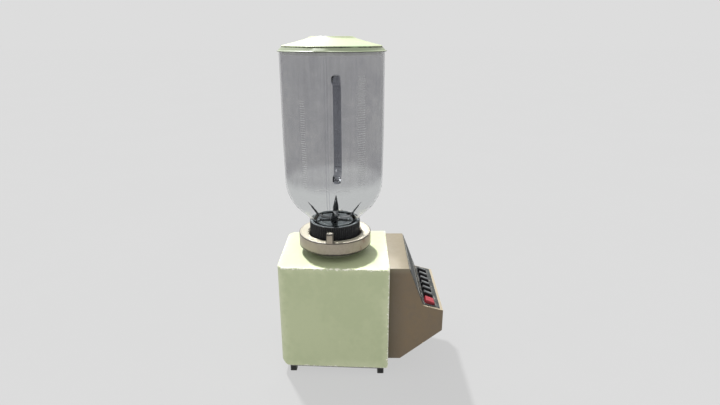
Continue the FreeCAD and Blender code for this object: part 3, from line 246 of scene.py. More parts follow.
def finish_piece(piece, body, materials, replaced):
    """Puts a made mesh in the scene, on its body, with its materials, in place of CAD nodes."""
    mesh = piece.data
    mesh.shade_smooth()
    mesh.set_sharp_from_angle(angle=SHARP)
    if "edge" not in mesh.attributes:
        mark_edges(mesh)
    for name in materials:
        mesh.materials.append(material(name))
    bpy.context.scene.collection.objects.link(piece)
    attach(piece, body)
    if replaced:
        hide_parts(*replaced)
    return piece


def make_piece(name, skin, body, materials, replaced=(), second_of=None):
    """One piece from a solid; second_of, given the mesh, picks the faces that take the second material."""
    mesh = bpy.data.meshes.new(name)
    mesh.from_pydata(skin.points.tolist(), [], skin.quads.tolist() + skin.tris.tolist())
    if second_of:
        sides = np.zeros(len(mesh.polygons), int)
        sides[second_of(mesh)] = 1
        mesh.polygons.foreach_set("material_index", sides)
    piece = bpy.data.objects.new(name, mesh)
    return finish_piece(piece, body, materials, replaced)


def face_middles(mesh):
    """Middle and normal of every face, as two arrays (faces, 3)."""
    middles, normals = np.empty(len(mesh.polygons) * 3), np.empty(len(mesh.polygons) * 3)
    mesh.polygons.foreach_get("center", middles)
    mesh.polygons.foreach_get("normal", normals)
    return middles.reshape(-1, 3), normals.reshape(-1, 3)


def softened_copy(node, name, materials, width, body="base"):
    """A copy of a CAD node with its loose triangles merged, flat faces joined and its edges rounded.

    The faces of the rounds alone are marked as edges.
    """
    mesh = frame["nodes"][node].data.copy()
    mesh.name = name
    mesh.materials.clear()
    work = bmesh.new()
    work.from_mesh(mesh)
    bmesh.ops.remove_doubles(work, verts=work.verts, dist=1e-6)
    bmesh.ops.dissolve_limit(work, angle_limit=math.radians(1), verts=work.verts, edges=work.edges)
    sharp = [edge for edge in work.edges if edge.is_manifold and edge.calc_face_angle(0) > SHARP]
    layer = work.faces.layers.float.new("edge")
    rounds = bmesh.ops.bevel(work, geom=sharp, offset=width, segments=3, profile=0.5, affect="EDGES",
                             clamp_overlap=True)["faces"]
    for face in rounds:
        face[layer] = 1.0
    bmesh.ops.remove_doubles(work, verts=work.verts, dist=1e-6)
    work.to_mesh(mesh)
    work.free()
    piece = bpy.data.objects.new(name, mesh)
    return finish_piece(piece, body, materials, (node,))


def node_points(node, turn=None):
    """A CAD node's points along the columns of a turn matrix."""
    mesh = frame["nodes"][node].data
    points = np.empty(len(mesh.vertices) * 3)
    mesh.vertices.foreach_get("co", points)
    return points.reshape(-1, 3) @ (np.eye(3) if turn is None else np.array(turn))


def node_box(node, turn=None):
    """Lowest and highest corner of a CAD node along the columns of a turn matrix."""
    points = node_points(node, turn)
    return points.min(0), points.max(0)


def key_ends(shelf):
    """Front and rear of the keys where they stand above their plate, down the shelf."""
    points = node_points("key_off", shelf)
    along = points[points[:, 2] > node_box("key_plate", shelf)[1][2], 1]
    return along.min(), along.max()


def shelf_turn():
    """Turn matrix of the key shelf: its third column is the way out of the shelf, from the keys' joint."""
    axis = next(joint["axis"] for joint in frame["joints"] if joint["name"] == "key_1_press")
    out = -np.array(axis, float)
    return np.column_stack([(1, 0, 0), np.cross(out, (1, 0, 0)), out])


# ---------------------------------------------------------------- node helpers

def add(tree, kind, links=None, **settings):
    """A node: settings are its own properties, links its inputs, each a value or another node's output."""
    node = tree.nodes.new(kind)
    for name, value in settings.items():
        setattr(node, name, value)
    for name, value in (links or {}).items():
        if isinstance(value, bpy.types.NodeSocket):
            tree.links.new(value, node.inputs[name])
        else:
            node.inputs[name].default_value = value
    return node


def calc(tree, operation, first, second=0.0, third=0.0):
    """One step of arithmetic."""
    return add(tree, "ShaderNodeMath", {0: first, 1: second, 2: third}, operation=operation).outputs[0]


def spread(tree, value, low, high, to_low=0.0, to_high=1.0):
    """A value from low to high brought smoothly to to_low to to_high."""
    links = {"Value": value, "From Min": low, "From Max": high, "To Min": to_low, "To Max": to_high}
    return add(tree, "ShaderNodeMapRange", links, interpolation_type="SMOOTHSTEP").outputs[0]


def blend_colour(tree, factor, first, second):
    """Two colours mixed by a factor."""
    node = add(tree, "ShaderNodeMix", data_type="RGBA")
    for socket, value in ((0, factor), (6, first), (7, second)):
        if isinstance(value, bpy.types.NodeSocket):
            tree.links.new(value, node.inputs[socket])
        else:
            node.inputs[socket].default_value = value if socket == 0 else (*value[:3], 1)
    return node.outputs[2]


def noise(tree, vector, scale, detail=3.0, roughness=0.55):
    """Soft noise from about 0.3 to 0.7 at this many waves a metre."""
    links = {"Vector": vector, "Scale": scale, "Detail": detail, "Roughness": roughness}
    return add(tree, "ShaderNodeTexNoise", links).outputs[0]


def new_group(name, inputs, outputs):
    """An empty node group with named inputs and outputs, each (name, kind, default)."""
    tree = bpy.data.node_groups.new(name, "ShaderNodeTree")
    for label, kind, value in inputs:
        socket = tree.interface.new_socket(label, in_out="INPUT", socket_type="NodeSocket" + kind)
        if value is not None:
            socket.default_value = value
    for label, kind in outputs:
        tree.interface.new_socket(label, in_out="OUTPUT", socket_type="NodeSocket" + kind)
    return tree, tree.nodes.new("NodeGroupInput").outputs, tree.nodes.new("NodeGroupOutput").inputs


def fill_mottle(name):
    """Cloudy unevenness: two sizes of noise added, brought to 0 to 1."""
    tree, given, result = new_group(
        name, [("Vector", "Vector", None), ("Scale", "Float", 20.0)], [("Value", "Float")])
    wide = noise(tree, given["Vector"], given["Scale"])
    fine = noise(tree, given["Vector"], calc(tree, "MULTIPLY", given["Scale"], 9.0), 2.0)
    both = calc(tree, "MULTIPLY_ADD", fine, 0.35, calc(tree, "MULTIPLY", wide, 0.65))
    tree.links.new(spread(tree, both, 0.38, 0.62), result["Value"])
    return tree


def fill_relief(name):
    """Moulding and casting grain as a normal: noise through a bump of the given height."""
    tree, given, result = new_group(
        name, [("Vector", "Vector", None), ("Scale", "Float", 900.0), ("Height", "Float", 0.00002)],
        [("Normal", "Vector")])
    grain = noise(tree, given["Vector"], given["Scale"], 2.0)
    bump = add(tree, "ShaderNodeBump", {"Height": grain, "Distance": given["Height"]})
    tree.links.new(bump.outputs[0], result["Normal"])
    return tree


def fill_wear(name):
    """Rubbed edges: edge strength plus noise, over a threshold."""
    tree, given, result = new_group(
        name, [("Vector", "Vector", None), ("Edge", "Float", 0.0), ("Scale", "Float", 300.0),
               ("Amount", "Float", 0.5)], [("Mask", "Float")])
    ragged = calc(tree, "SUBTRACT", noise(tree, given["Vector"], given["Scale"], 4.0), 0.5)
    level = calc(tree, "MULTIPLY_ADD", ragged, 1.6, calc(tree, "MULTIPLY", given["Edge"], given["Amount"]))
    present = calc(tree, "GREATER_THAN", given["Edge"], 0.04)
    tree.links.new(calc(tree, "MULTIPLY", spread(tree, level, 0.22, 0.4), present), result["Mask"])
    return tree


def fill_streaks(name):
    """Brushed or drawn metal: noise stretched a hundredfold along one direction."""
    tree, given, result = new_group(
        name, [("Vector", "Vector", None), ("Stretch", "Vector", (1.0, 1.0, 100.0)),
               ("Scale", "Float", 12.0)], [("Value", "Float")])
    pulled = vector_step(tree, "MULTIPLY", given["Vector"], given["Stretch"])[0]
    tree.links.new(spread(tree, noise(tree, pulled, given["Scale"], 2.0), 0.35, 0.65), result["Value"])
    return tree


def fill_box_distance(name):
    """Distance along a box's face to its nearest edge: the middle one of the three distances
    half size - |place - centre|, since the smallest is the face's own, which is nothing."""
    tree, given, result = new_group(
        name, [("Vector", "Vector", None), ("Centre", "Vector", (0.0, 0.0, 0.0)),
               ("Half Size", "Vector", (1.0, 1.0, 1.0))], [("Distance", "Float")])
    offset = vector_step(tree, "SUBTRACT", given["Vector"], given["Centre"])[0]
    size = vector_step(tree, "ABSOLUTE", offset)[0]
    x, y, z = coordinates(tree, vector_step(tree, "SUBTRACT", given["Half Size"], size)[0])
    low, high = calc(tree, "MINIMUM", x, y), calc(tree, "MAXIMUM", x, y)
    middle = calc(tree, "MAXIMUM", low, calc(tree, "MINIMUM", high, z))
    tree.links.new(middle, result["Distance"])
    return tree


GROUPS = {"mottle": fill_mottle, "relief": fill_relief, "wear": fill_wear, "streaks": fill_streaks,
          "box distance": fill_box_distance}


def group(tree, name, links):
    """A node group placed in a material with its own values."""
    held = bpy.data.node_groups.get(name) or GROUPS[name](name)
    return add(tree, "ShaderNodeGroup", links, node_tree=held).outputs[0]


# ---------------------------------------------------------------- finishes

def new_material(name, metallic=0.0, **uniform):
    """An empty material with its Principled shader; uniform values go straight on its sockets."""
    made = bpy.data.materials.new(name)
    made.use_nodes = True
    tree = made.node_tree
    shader = tree.nodes["Principled BSDF"]
    shader.inputs["Metallic"].default_value = metallic
    for label, value in uniform.items():
        shader.inputs[label.replace("_", " ").title().replace("Ior", "IOR")].default_value = value
    place = add(tree, "ShaderNodeTexCoord").outputs["Object"]
    return made, tree, shader, place


def mottled(tree, place, scale):
    """Clouds from 0 to 1 at this many waves a metre."""
    return group(tree, "mottle", {"Vector": place, "Scale": scale})


def relief(tree, place, scale, height):
    """The normal of a grain of this height."""
    return group(tree, "relief", {"Vector": place, "Scale": scale, "Height": height})


def rubbed_mask(tree, place, scale, amount):
    """Where the marked edges are rubbed."""
    edge = add(tree, "ShaderNodeAttribute", attribute_name="edge").outputs["Fac"]
    return group(tree, "wear", {"Vector": place, "Edge": edge, "Scale": scale, "Amount": amount})


def coordinates(tree, place):
    """The three coordinates of a place."""
    return list(add(tree, "ShaderNodeSeparateXYZ", {0: place}).outputs)


def vector_step(tree, operation, first, second=(0, 0, 0)):
    """One step of vector arithmetic."""
    return add(tree, "ShaderNodeVectorMath", {0: first, 1: second}, operation=operation).outputs


def connect(tree, shader, colour, roughness, normal=None):
    """Feeds the shader's colour, roughness and normal."""
    tree.links.new(colour, shader.inputs["Base Color"])
    tree.links.new(roughness, shader.inputs["Roughness"])
    if normal is not None:
        tree.links.new(normal, shader.inputs["Normal"])


def plain_finish(name, colour, other, roughness, metallic=0.0, clouds=30.0, grain=900.0, height=2e-5,
                 worn=None, worn_amount=0.5, worn_scale=300.0, worn_roughness=0.5, **uniform):
    """Moulded, cast, painted or rubbed stuff: two colours in clouds, grain, and worn edges."""
    made, tree, shader, place = new_material(name, metallic, **uniform)
    cloud = mottled(tree, place, clouds)
    shade = blend_colour(tree, cloud, colour, other)
    rough = spread(tree, cloud, 0.0, 1.0, roughness - 0.07, roughness + 0.08)
    if worn:
        mask = rubbed_mask(tree, place, worn_scale, worn_amount)
        shade = blend_colour(tree, mask, shade, worn)
        rough = calc(tree, "MULTIPLY_ADD", mask, worn_roughness - roughness, rough)
    connect(tree, shader, shade, rough, relief(tree, place, grain, height))
    return made


def drawn_metal(name, colour, other, roughness, stretch, scale=12.0, **uniform):
    """Turned, drawn or brushed metal: streaks in colour, roughness and relief."""
    made, tree, shader, place = new_material(name, 1.0, **uniform)
    streak = group(tree, "streaks", {"Vector": place, "Stretch": stretch, "Scale": scale})
    cloud = mottled(tree, place, 60.0)
    shade = blend_colour(tree, calc(tree, "MULTIPLY_ADD", cloud, 0.5, calc(tree, "MULTIPLY", streak, 0.5)),
                         colour, other)
    bump = add(tree, "ShaderNodeBump", {"Height": streak, "Distance": 1e-5})
    connect(tree, shader, shade, spread(tree, streak, 0.0, 1.0, roughness - 0.06, roughness + 0.1),
            bump.outputs[0])
    return made


def banded_finish(name, colour, other, roughness, metallic, axis, pitch):
    """Stacked sheets or laid wire: a wave of this pitch along one axis in colour and relief."""
    made, tree, shader, place = new_material(name, metallic)
    links = {"Vector": place, "Scale": 1 / (pitch * 20) * TURN, "Distortion": 0.0}
    wave = add(tree, "ShaderNodeTexWave", links, wave_type="BANDS", bands_direction=axis).outputs[1]
    cloud = mottled(tree, place, 50.0)
    shade = blend_colour(tree, calc(tree, "MULTIPLY_ADD", wave, 0.6, calc(tree, "MULTIPLY", cloud, 0.4)),
                         colour, other)
    bump = add(tree, "ShaderNodeBump", {"Height": wave, "Distance": pitch * 0.3})
    connect(tree, shader, shade, spread(tree, cloud, 0.0, 1.0, roughness - 0.06, roughness + 0.08),
            bump.outputs[0])
    return made


def casing_paint(name):
    """Pale green enamel, paler towards every edge and chipped to its undercoat along them."""
    look = bpy.context.scene.blender_casing
    made, tree, shader, place = new_material(name, coat_weight=0.15, coat_roughness=0.3)
    low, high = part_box("housing")
    x, y, z = coordinates(tree, place)
    lean = look.taper / (high.y - low.y)
    outward = calc(tree, "MULTIPLY_ADD", calc(tree, "SUBTRACT", y, low.y), lean, calc(tree, "ABSOLUTE", x))
    square = add(tree, "ShaderNodeCombineXYZ", {0: outward, 1: y, 2: z}).outputs[0]
    distance = group(tree, "box distance", {"Vector": square, "Centre": (low + high) / 2,
                                            "Half Size": (high - low) / 2})
    cloud = mottled(tree, place, 14.0)
    paint = blend_colour(tree, spread(tree, cloud, 0.0, 1.0, 0.0, 0.5), look.paint, look.paint_shade)
    near = calc(tree, "MULTIPLY_ADD", cloud, 0.006, distance)
    pale = spread(tree, near, 0.001, 0.015, 0.55, 0.0)
    paint = blend_colour(tree, pale, paint, look.paint_edge)
    ragged = noise(tree, place, 260.0, 4.0, 0.65)
    reach = calc(tree, "MULTIPLY_ADD", ragged, -0.0105, 0.0052 + look.chip_width)
    chips = spread(tree, calc(tree, "SUBTRACT", reach, distance), 0.0, 0.0004)
    paint = blend_colour(tree, chips, paint, look.chip)
    scuff = calc(tree, "MULTIPLY", spread(tree, noise(tree, place, 55.0, 5.0, 0.7), 0.64, 0.7), 0.25)
    paint = blend_colour(tree, scuff, paint, look.paint_edge)
    rough = spread(tree, cloud, 0.0, 1.0, 0.4, 0.55)
    height = calc(tree, "SUBTRACT", calc(tree, "MULTIPLY", noise(tree, place, 700.0, 2.0), 0.3), chips)
    bump = add(tree, "ShaderNodeBump", {"Height": height, "Distance": 0.00012})
    connect(tree, shader, paint, rough, bump.outputs[0])
    return made


def console_paint(name):
    """Brown textured plastic in cloudy tones, with a paler tan top band as painted sunlight, painted shade
    beside the casing, a painted highlight along the key shelf's rim, and rubbed edges lightened both as wear
    and as a painted highlight.
    """
    look = bpy.context.scene.blender_console
    made, tree, shader, place = new_material(name)
    cloud = mottled(tree, place, 16.0)
    y, z = coordinates(tree, place)[1:]
    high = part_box("console")[1]
    base = blend_colour(tree, cloud, look.plastic, look.plastic_warm)
    # Top band, the top 8 mm: painted a paler tan as painted sunlight on the top.
    upper = spread(tree, z, high.z - 0.008, high.z - 0.001)
    # Painted highlight: a thin pale line on the console's side at the level of the key shelf, only over the
    # shelf's length.
    shelf = shelf_turn()
    level = node_box("key_plate", shelf)[0][2]
    out = vector_step(tree, "DOT_PRODUCT", place, tuple(shelf[:, 2]))["Value"]
    off_rim = calc(tree, "ABSOLUTE", calc(tree, "SUBTRACT", out, level))
    rim = spread(tree, off_rim, 0.0002, 0.0006, 0.8, 0.0)
    near_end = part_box("key_plate")[1].y
    rim = calc(tree, "MULTIPLY", rim, spread(tree, y, near_end - 0.004, near_end + 0.002, 1.0, 0.0))
    base = blend_colour(tree, calc(tree, "MULTIPLY", upper, 0.9), base, look.top_tan)
    # Painted shade: darker towards the casing, where the console meets it, and less so over the top band.
    near_casing = calc(tree, "MULTIPLY_ADD", cloud, 0.006, y)
    grime = spread(tree, near_casing, high.y - 0.02, high.y + 0.002, 0.0, 0.55)
    grime = calc(tree, "MULTIPLY", grime, calc(tree, "SUBTRACT", 1.0, calc(tree, "MULTIPLY", upper, 0.75)))
    base = blend_colour(tree, grime, base, look.grime)
    base = blend_colour(tree, rim, base, look.rubbed_edge)
    # Rubbed edges, lightened both as wear and as a painted edge highlight.
    rubbed = rubbed_mask(tree, place, 160.0, 0.75)
    base = blend_colour(tree, calc(tree, "MULTIPLY", rubbed, 0.75), base, look.rubbed_edge)
    connect(tree, shader, base, spread(tree, cloud, 0.0, 1.0, 0.5, 0.65),
            relief(tree, place, 1100.0, 3e-5))
    return made


def collar_metal(name):
    """Cream-painted die casting with reddish patches low on the side towards the console, a paler top as
    painted sunlight, a dark band round its foot as painted shadow and dark grime along its edges.
    """
    look = bpy.context.scene.blender_collar
    made, tree, shader, place = new_material(name, coat_weight=0.2, coat_roughness=0.35)
    cloud = mottled(tree, place, 45.0)
    x, y, z = coordinates(tree, place)
    base = blend_colour(tree, cloud, look.cream, look.cream_shade)
    # Reddish patches on the lower side towards the console.
    patchy = spread(tree, noise(tree, place, 60.0, 5.0, 0.7), 0.5, 0.66)
    towards = spread(tree, calc(tree, "MULTIPLY", y, -1.0), 0.012, 0.04)
    low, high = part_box("collar_ring")
    flat = add(tree, "ShaderNodeCombineXYZ", {0: x, 1: y, 2: 0.0}).outputs[0]
    radius = vector_step(tree, "LENGTH", flat)["Value"]
    # Inside its outer edge the top is painted a paler cream, as painted sunlight on the top.
    upper = spread(tree, radius, high.y - 0.0016, high.y - 0.001, 1.0, 0.0)
    base = blend_colour(tree, upper, base, look.cream_top)
    side = spread(tree, z, high.z - 0.0125, high.z - 0.0135)
    red = calc(tree, "MULTIPLY", calc(tree, "MULTIPLY", patchy, towards), side)
    base = blend_colour(tree, calc(tree, "MULTIPLY", red, 0.75), base, look.rust)
    # Painted shadow: a near-black ragged band round the ring's foot, where it stands over the seat.
    ragged_foot = calc(tree, "MULTIPLY_ADD", cloud, 0.001, z)
    foot = spread(tree, ragged_foot, low.z + 0.0024, low.z + 0.0036, 0.97, 0.0)
    base = blend_colour(tree, foot, base, look.grime)
    dark = rubbed_mask(tree, place, 90.0, 0.9)
    base = blend_colour(tree, calc(tree, "MULTIPLY", dark, 0.85), base, look.grime)
    connect(tree, shader, base, spread(tree, cloud, 0.0, 1.0, 0.32, 0.5),
            relief(tree, place, 500.0, 4e-5))
    return made


def lid_plastic(name):
    """Pale green lid plastic with greener patches, painted shade in the groove under the crown and on the
    flared lip, a painted shadow under the lip, and a near-white plug as painted backdrop light seen through
    the glass.
    """
    look = bpy.context.scene.blender_lid
    made, tree, shader, place = new_material(name, coat_weight=0.1, coat_roughness=0.3)
    cloud = mottled(tree, place, 40.0)
    y, z = coordinates(tree, place)[1:]
    base = blend_colour(tree, cloud, look.plastic, look.plastic_shade)
    patch = spread(tree, noise(tree, place, 30.0, 4.0, 0.6), 0.5, 0.6, 0.0, 0.7)
    patch = calc(tree, "MULTIPLY", patch, spread(tree, y, -0.03, 0.0, 1.0, 0.35))
    base = blend_colour(tree, patch, base, look.plastic_green)
    # Painted shade: a dark ragged line in the groove under the crown.
    ragged = noise(tree, place, 95.0, 4.0, 0.7)
    uneven = calc(tree, "MULTIPLY_ADD", ragged, 0.0032, -0.0014)
    groove = calc(tree, "ABSOLUTE", calc(tree, "SUBTRACT", z, look.groove_height))
    dirt = spread(tree, calc(tree, "SUBTRACT", groove, uneven), 0.0001, 0.0004, 0.9, 0.0)
    # Painted shade: the flared lip below the groove takes a darker green, more so towards +Y.
    shade = spread(tree, calc(tree, "MULTIPLY_ADD", cloud, 0.02, y), 0.0, 0.04, 0.8, 0.95)
    flange = spread(tree, z, look.groove_height - 0.0006, look.groove_height - 0.0002)
    flange = calc(tree, "MULTIPLY", calc(tree, "SUBTRACT", 1.0, flange), shade)
    base = blend_colour(tree, flange, base, look.flange)
    base = blend_colour(tree, dirt, base, look.dirt)
    # Painted shadow: a dark band just above the lip's underside, stronger towards -Y.
    side = calc(tree, "MULTIPLY_ADD", y, -6.0, 0.55)
    under = spread(tree, z, look.lip_height + 0.0003, look.lip_height + 0.0008, 1.0, 0.0)
    under = calc(tree, "MULTIPLY", under, spread(tree, calc(tree, "ADD", side, ragged), 0.5, 1.0))
    base = blend_colour(tree, under, base, look.dirt)
    # Painted light: the plug inside the jar is near white, so that through the glass it reads as the bright
    # backdrop.
    plug = spread(tree, z, look.lip_height - 0.0004, look.lip_height - 0.0002, 1.0, 0.0)
    base = blend_colour(tree, plug, base, look.plug)
    connect(tree, shader, base, spread(tree, cloud, 0.0, 1.0, 0.35, 0.5),
            relief(tree, place, 800.0, 2e-5))
    return made


def jar_glass(name):
    """Grey glass, clearer low down, with haze, a mould seam's shade and a tide mark near the bottom."""
    look = bpy.context.scene.blender_jar
    made, tree, shader, place = new_material(name, transmission_weight=1.0, ior=1.04)
    cloud = mottled(tree, place, 12.0)
    x, y, z = coordinates(tree, place)
    grey = blend_colour(tree, cloud, look.glass, look.glass_other)
    level = calc(tree, "MULTIPLY_ADD", noise(tree, place, 35.0), 0.012, z)
    grey = blend_colour(tree, spread(tree, level, look.tide_height - 0.002, look.tide_height + 0.014),
                        look.glass_clear, grey)
    for line in (look.seam_offset, look.seam_offset + look.seam_gap):
        near = calc(tree, "ABSOLUTE", calc(tree, "SUBTRACT", y, line))
        seam = spread(tree, near, 0.0002, 0.0009, 0.35, 0.0)
        seam = calc(tree, "MULTIPLY", seam, calc(tree, "LESS_THAN", x, 0.0))
        grey = blend_colour(tree, seam, grey, look.handle_other)
    pulled = group(tree, "streaks", {"Vector": place, "Stretch": (1.0, 1.0, 0.04), "Scale": 260.0})
    grey = blend_colour(tree, spread(tree, pulled, 0.2, 1.0, 0.0, 0.12), grey, look.glass_clear)
    connect(tree, shader, grey, spread(tree, cloud, 0.0, 1.0, 0.03, 0.09),
            relief(tree, place, 60.0, 6e-5))
    return made


def handle_glass(name):
    """Darker, thicker glass with slight waviness."""
    look = bpy.context.scene.blender_jar
    made, tree, shader, place = new_material(name, transmission_weight=1.0, ior=1.1)
    cloud = mottled(tree, place, 30.0)
    connect(tree, shader, blend_colour(tree, cloud, look.handle, look.handle_other),
            spread(tree, cloud, 0.0, 1.0, 0.06, 0.14),
            relief(tree, place, 90.0, 8e-5))
    return made


def paint_like(function, *values, **more):
    """A maker of a material with these values, called with its name once the scene needs it."""
    return lambda name: function(name, *values, **more)


FINISHES = {
    "casing": casing_paint,
    "console": console_paint,
    "collar_metal": collar_metal,
    "lid_plastic": lid_plastic,
    "jar_glass": jar_glass,
    "handle_glass": handle_glass,
    "panel_metal": paint_like(plain_finish, (0.035, 0.039, 0.037), (0.062, 0.07, 0.067), 0.55,
                              clouds=55.0, worn=(0.2, 0.19, 0.17), worn_amount=0.35, worn_scale=200.0,
                              specular_ior_level=0.25),
    "bezel_chrome": paint_like(plain_finish, (0.07, 0.074, 0.074), (0.14, 0.143, 0.142), 0.3, 0.8,
                               clouds=90.0),
    # Dark green of the collar seat, darkened as painted shade under the ring.
    "seat_shade_paint": paint_like(plain_finish, (0.2, 0.215, 0.14), (0.25, 0.27, 0.18), 0.5),
    "black_plastic": paint_like(plain_finish, (0.016, 0.016, 0.018), (0.03, 0.03, 0.032), 0.42),
    # Grey plastic of the blade holder, also used on the nut's top as a paler copy of the black nut plastic,
    # painted light.
    "dark_plastic": paint_like(plain_finish, (0.058, 0.067, 0.071), (0.072, 0.082, 0.087), 0.72, clouds=80.0,
                               worn=(0.1, 0.108, 0.112), worn_amount=0.2, specular_ior_level=0.2),
    "nut_plastic": paint_like(plain_finish, (0.01, 0.0105, 0.012), (0.017, 0.0175, 0.02), 0.6,
                              clouds=60.0, worn=(0.05, 0.05, 0.052), worn_amount=0.4, worn_scale=500.0,
                              specular_ior_level=0.2),
    "key_black": paint_like(plain_finish, (0.012, 0.012, 0.013), (0.022, 0.022, 0.024), 0.32),
    "key_cap": paint_like(plain_finish, (0.14, 0.15, 0.15), (0.19, 0.2, 0.2), 0.4, 0.2, clouds=120.0),
    "key_red": paint_like(plain_finish, (0.2, 0.006, 0.013), (0.25, 0.009, 0.018), 0.4, clouds=90.0),
    "key_red_top": paint_like(plain_finish, (0.31, 0.018, 0.032), (0.38, 0.03, 0.045), 0.4, clouds=90.0),
    "panel_ink": paint_like(plain_finish, (0.55, 0.54, 0.48), (0.66, 0.64, 0.57), 0.5, clouds=200.0),
    "scale_ink": paint_like(plain_finish, (0.4, 0.405, 0.4), (0.52, 0.525, 0.52), 0.5, clouds=160.0),
    "rubber": paint_like(plain_finish, (0.012, 0.012, 0.012), (0.03, 0.03, 0.028), 0.75, clouds=200.0,
                         grain=1500.0, height=4e-5, worn=(0.07, 0.07, 0.065), worn_amount=0.5),
    "carbon": paint_like(plain_finish, (0.02, 0.02, 0.021), (0.035, 0.035, 0.036), 0.6),
    "dark_steel": paint_like(plain_finish, (0.16, 0.155, 0.15), (0.24, 0.235, 0.225), 0.45, 0.85,
                             clouds=70.0, worn=(0.4, 0.38, 0.35), worn_amount=0.5),
    "cast_metal": paint_like(plain_finish, (0.36, 0.36, 0.35), (0.48, 0.47, 0.45), 0.5, 0.9, clouds=60.0,
                             grain=700.0, height=6e-5, worn=(0.7, 0.69, 0.66)),
    "blade_steel": paint_like(plain_finish, (0.022, 0.024, 0.027), (0.036, 0.039, 0.042), 0.6, 0.2,
                              clouds=110.0, specular_ior_level=0.25),
    "steel": paint_like(drawn_metal, (0.42, 0.42, 0.43), (0.6, 0.6, 0.6), 0.28, (1.0, 1.0, 60.0)),
    "brass": paint_like(drawn_metal, (0.5, 0.34, 0.12), (0.66, 0.48, 0.2), 0.34, (40.0, 1.0, 1.0)),
    "bronze": paint_like(drawn_metal, (0.38, 0.22, 0.1), (0.5, 0.31, 0.15), 0.38, (1.0, 1.0, 60.0)),
    "copper": paint_like(banded_finish, (0.42, 0.16, 0.07), (0.68, 0.3, 0.14), 0.36, 0.9, "Z", 0.0009),
    "laminations": paint_like(banded_finish, (0.12, 0.11, 0.11), (0.26, 0.25, 0.24), 0.5, 0.8, "Z", 0.0007),
}


def material(name):
    """The finish of that name, made at its first use."""
    return bpy.data.materials.get(name + " finish") or FINISHES[name](name + " finish")


# ---------------------------------------------------------------- properties

def length(name, description, default):
    """A length property in metres."""
    return FloatProperty(name=name, description=description, default=default, unit="LENGTH",
                         subtype="DISTANCE", precision=4)


def colour(name, description, default):
    """A colour property."""
    return FloatVectorProperty(name=name, description=description, default=default, size=3, min=0.0,
                               max=1.0, subtype="COLOR")


class CasingSettings(bpy.types.PropertyGroup):
    taper: length("Taper", "How far each side leans in from the front to the rear", 6 * MM)
    rear_corner: length("Rear corner", "Round of the two rear upright edges", 11 * MM)
    rear_foot: length("Rear foot", "Round of the rear bottom edge", 6 * MM)
    crisp: length("Crisp edge", "Round of the front and top edges", 1.6 * MM)
    wall: length("Wall", "Thickness of the casing", 2.6 * MM)
    hole: length("Hole", "Radius of the hole in the casing's top", 20 * MM)
    chip_width: length("Chip width", "Reach of the chipped paint from the edges", 1.2 * MM)
    paint: colour("Paint", "Green enamel", (0.53, 0.585, 0.355))
    paint_shade: colour("Paint shade", "Green enamel where it has darkened", (0.47, 0.535, 0.315))
    paint_edge: colour("Paint edge", "Paler enamel near the edges", (0.68, 0.72, 0.47))
    chip: colour("Chip", "Undercoat where the enamel is chipped", (0.93, 0.93, 0.78))


class ConsoleSettings(bpy.types.PropertyGroup):
    edge_round: length("Edge round", "Round of the console's edges", 0.8 * MM)
    plate_round: length("Plate round", "Round of the panel plates' edges", 0.25 * MM)
    label_slope: FloatProperty(name="Label slope", description="Label panel from the horizontal",
                               default=math.radians(69.5), unit="ROTATION", subtype="ANGLE")
    key_gap: length("Key gap", "Clearance between the keys and the slot's long sides", 0.35 * MM)
    slot_rim: length("Slot rim", "Width of the key surround's frame", 1.6 * MM)
    numeral_height: length("Numeral height", "Height of the printed numerals", 5 * MM)
    plastic: colour("Plastic", "Brown console plastic", (0.178, 0.134, 0.086))
    plastic_warm: colour("Warm plastic", "Console plastic where it has yellowed", (0.208, 0.152, 0.09))
    # Paler tan of the top band, painted light for the sunlit top.
    top_tan: colour("Top tan", "Faded top of the console", (0.222, 0.19, 0.128))
    # Pale colour of the rubbed edges and of the painted highlights along the edges and the shelf's rim.
    rubbed_edge: colour("Rubbed edge", "Rubbed edges of the console", (0.48, 0.42, 0.31))
    # Colour of the painted shade beside the casing.
    grime: colour("Grime", "Grime beside the casing", (0.1, 0.083, 0.06))


class KeySettings(bpy.types.PropertyGroup):
    corner: length("Corner", "Round of a key's corners", 0.9 * MM)
    front_drop: length("Front drop", "How much lower a key is at its front", 1.6 * MM)
    cap_inset: length("Cap inset", "Black margin round a key's pale cap", 1.2 * MM)
    stem: length("Stem", "Radius of a key's stem", 1.8 * MM)
    cap_height: length("Cap height", "Pale cap above the key", 0.35 * MM)


class CollarSettings(bpy.types.PropertyGroup):
    bore: length("Bore", "Radius of the collar's bowl", 32 * MM)
    floor: length("Floor", "Thickness of the bowl's floor", 4 * MM)
    hole: length("Hole", "Radius of the hole through the floor", 20 * MM)
    rim_top: length("Rim top", "Height of the collar's rim", 170.5 * MM)
    dish: length("Dish", "Drop of the dished top at the bore", 1 * MM)
    lug_width: length("Lug width", "Collar lug across", 8 * MM)
    lug_thick: length("Lug thickness", "Collar lug in the radial direction", 6.5 * MM)
    lug_turn: FloatProperty(name="Lug turn", description="Lugs turned from the X axis",
                            default=math.radians(-5.3), unit="ROTATION", subtype="ANGLE")
    cream: colour("Cream", "Collar paint", (0.4, 0.345, 0.27))
    cream_shade: colour("Cream shade", "Collar paint where it is stained", (0.33, 0.285, 0.22))
    # Paler cream of the top, painted light for the sunlit top.
    cream_top: colour("Cream top", "Collar paint on the sunlit top", (0.5, 0.465, 0.365))
    # Colour of the reddish patches on the lower side towards the console.
    rust: colour("Rust", "Reddish rubbed patches", (0.17, 0.05, 0.035))
    # Near-black colour of the painted shadow round the ring's foot and of the grime along its edges.
    grime: colour("Grime", "Dark dirt at the lips", (0.03, 0.024, 0.018))


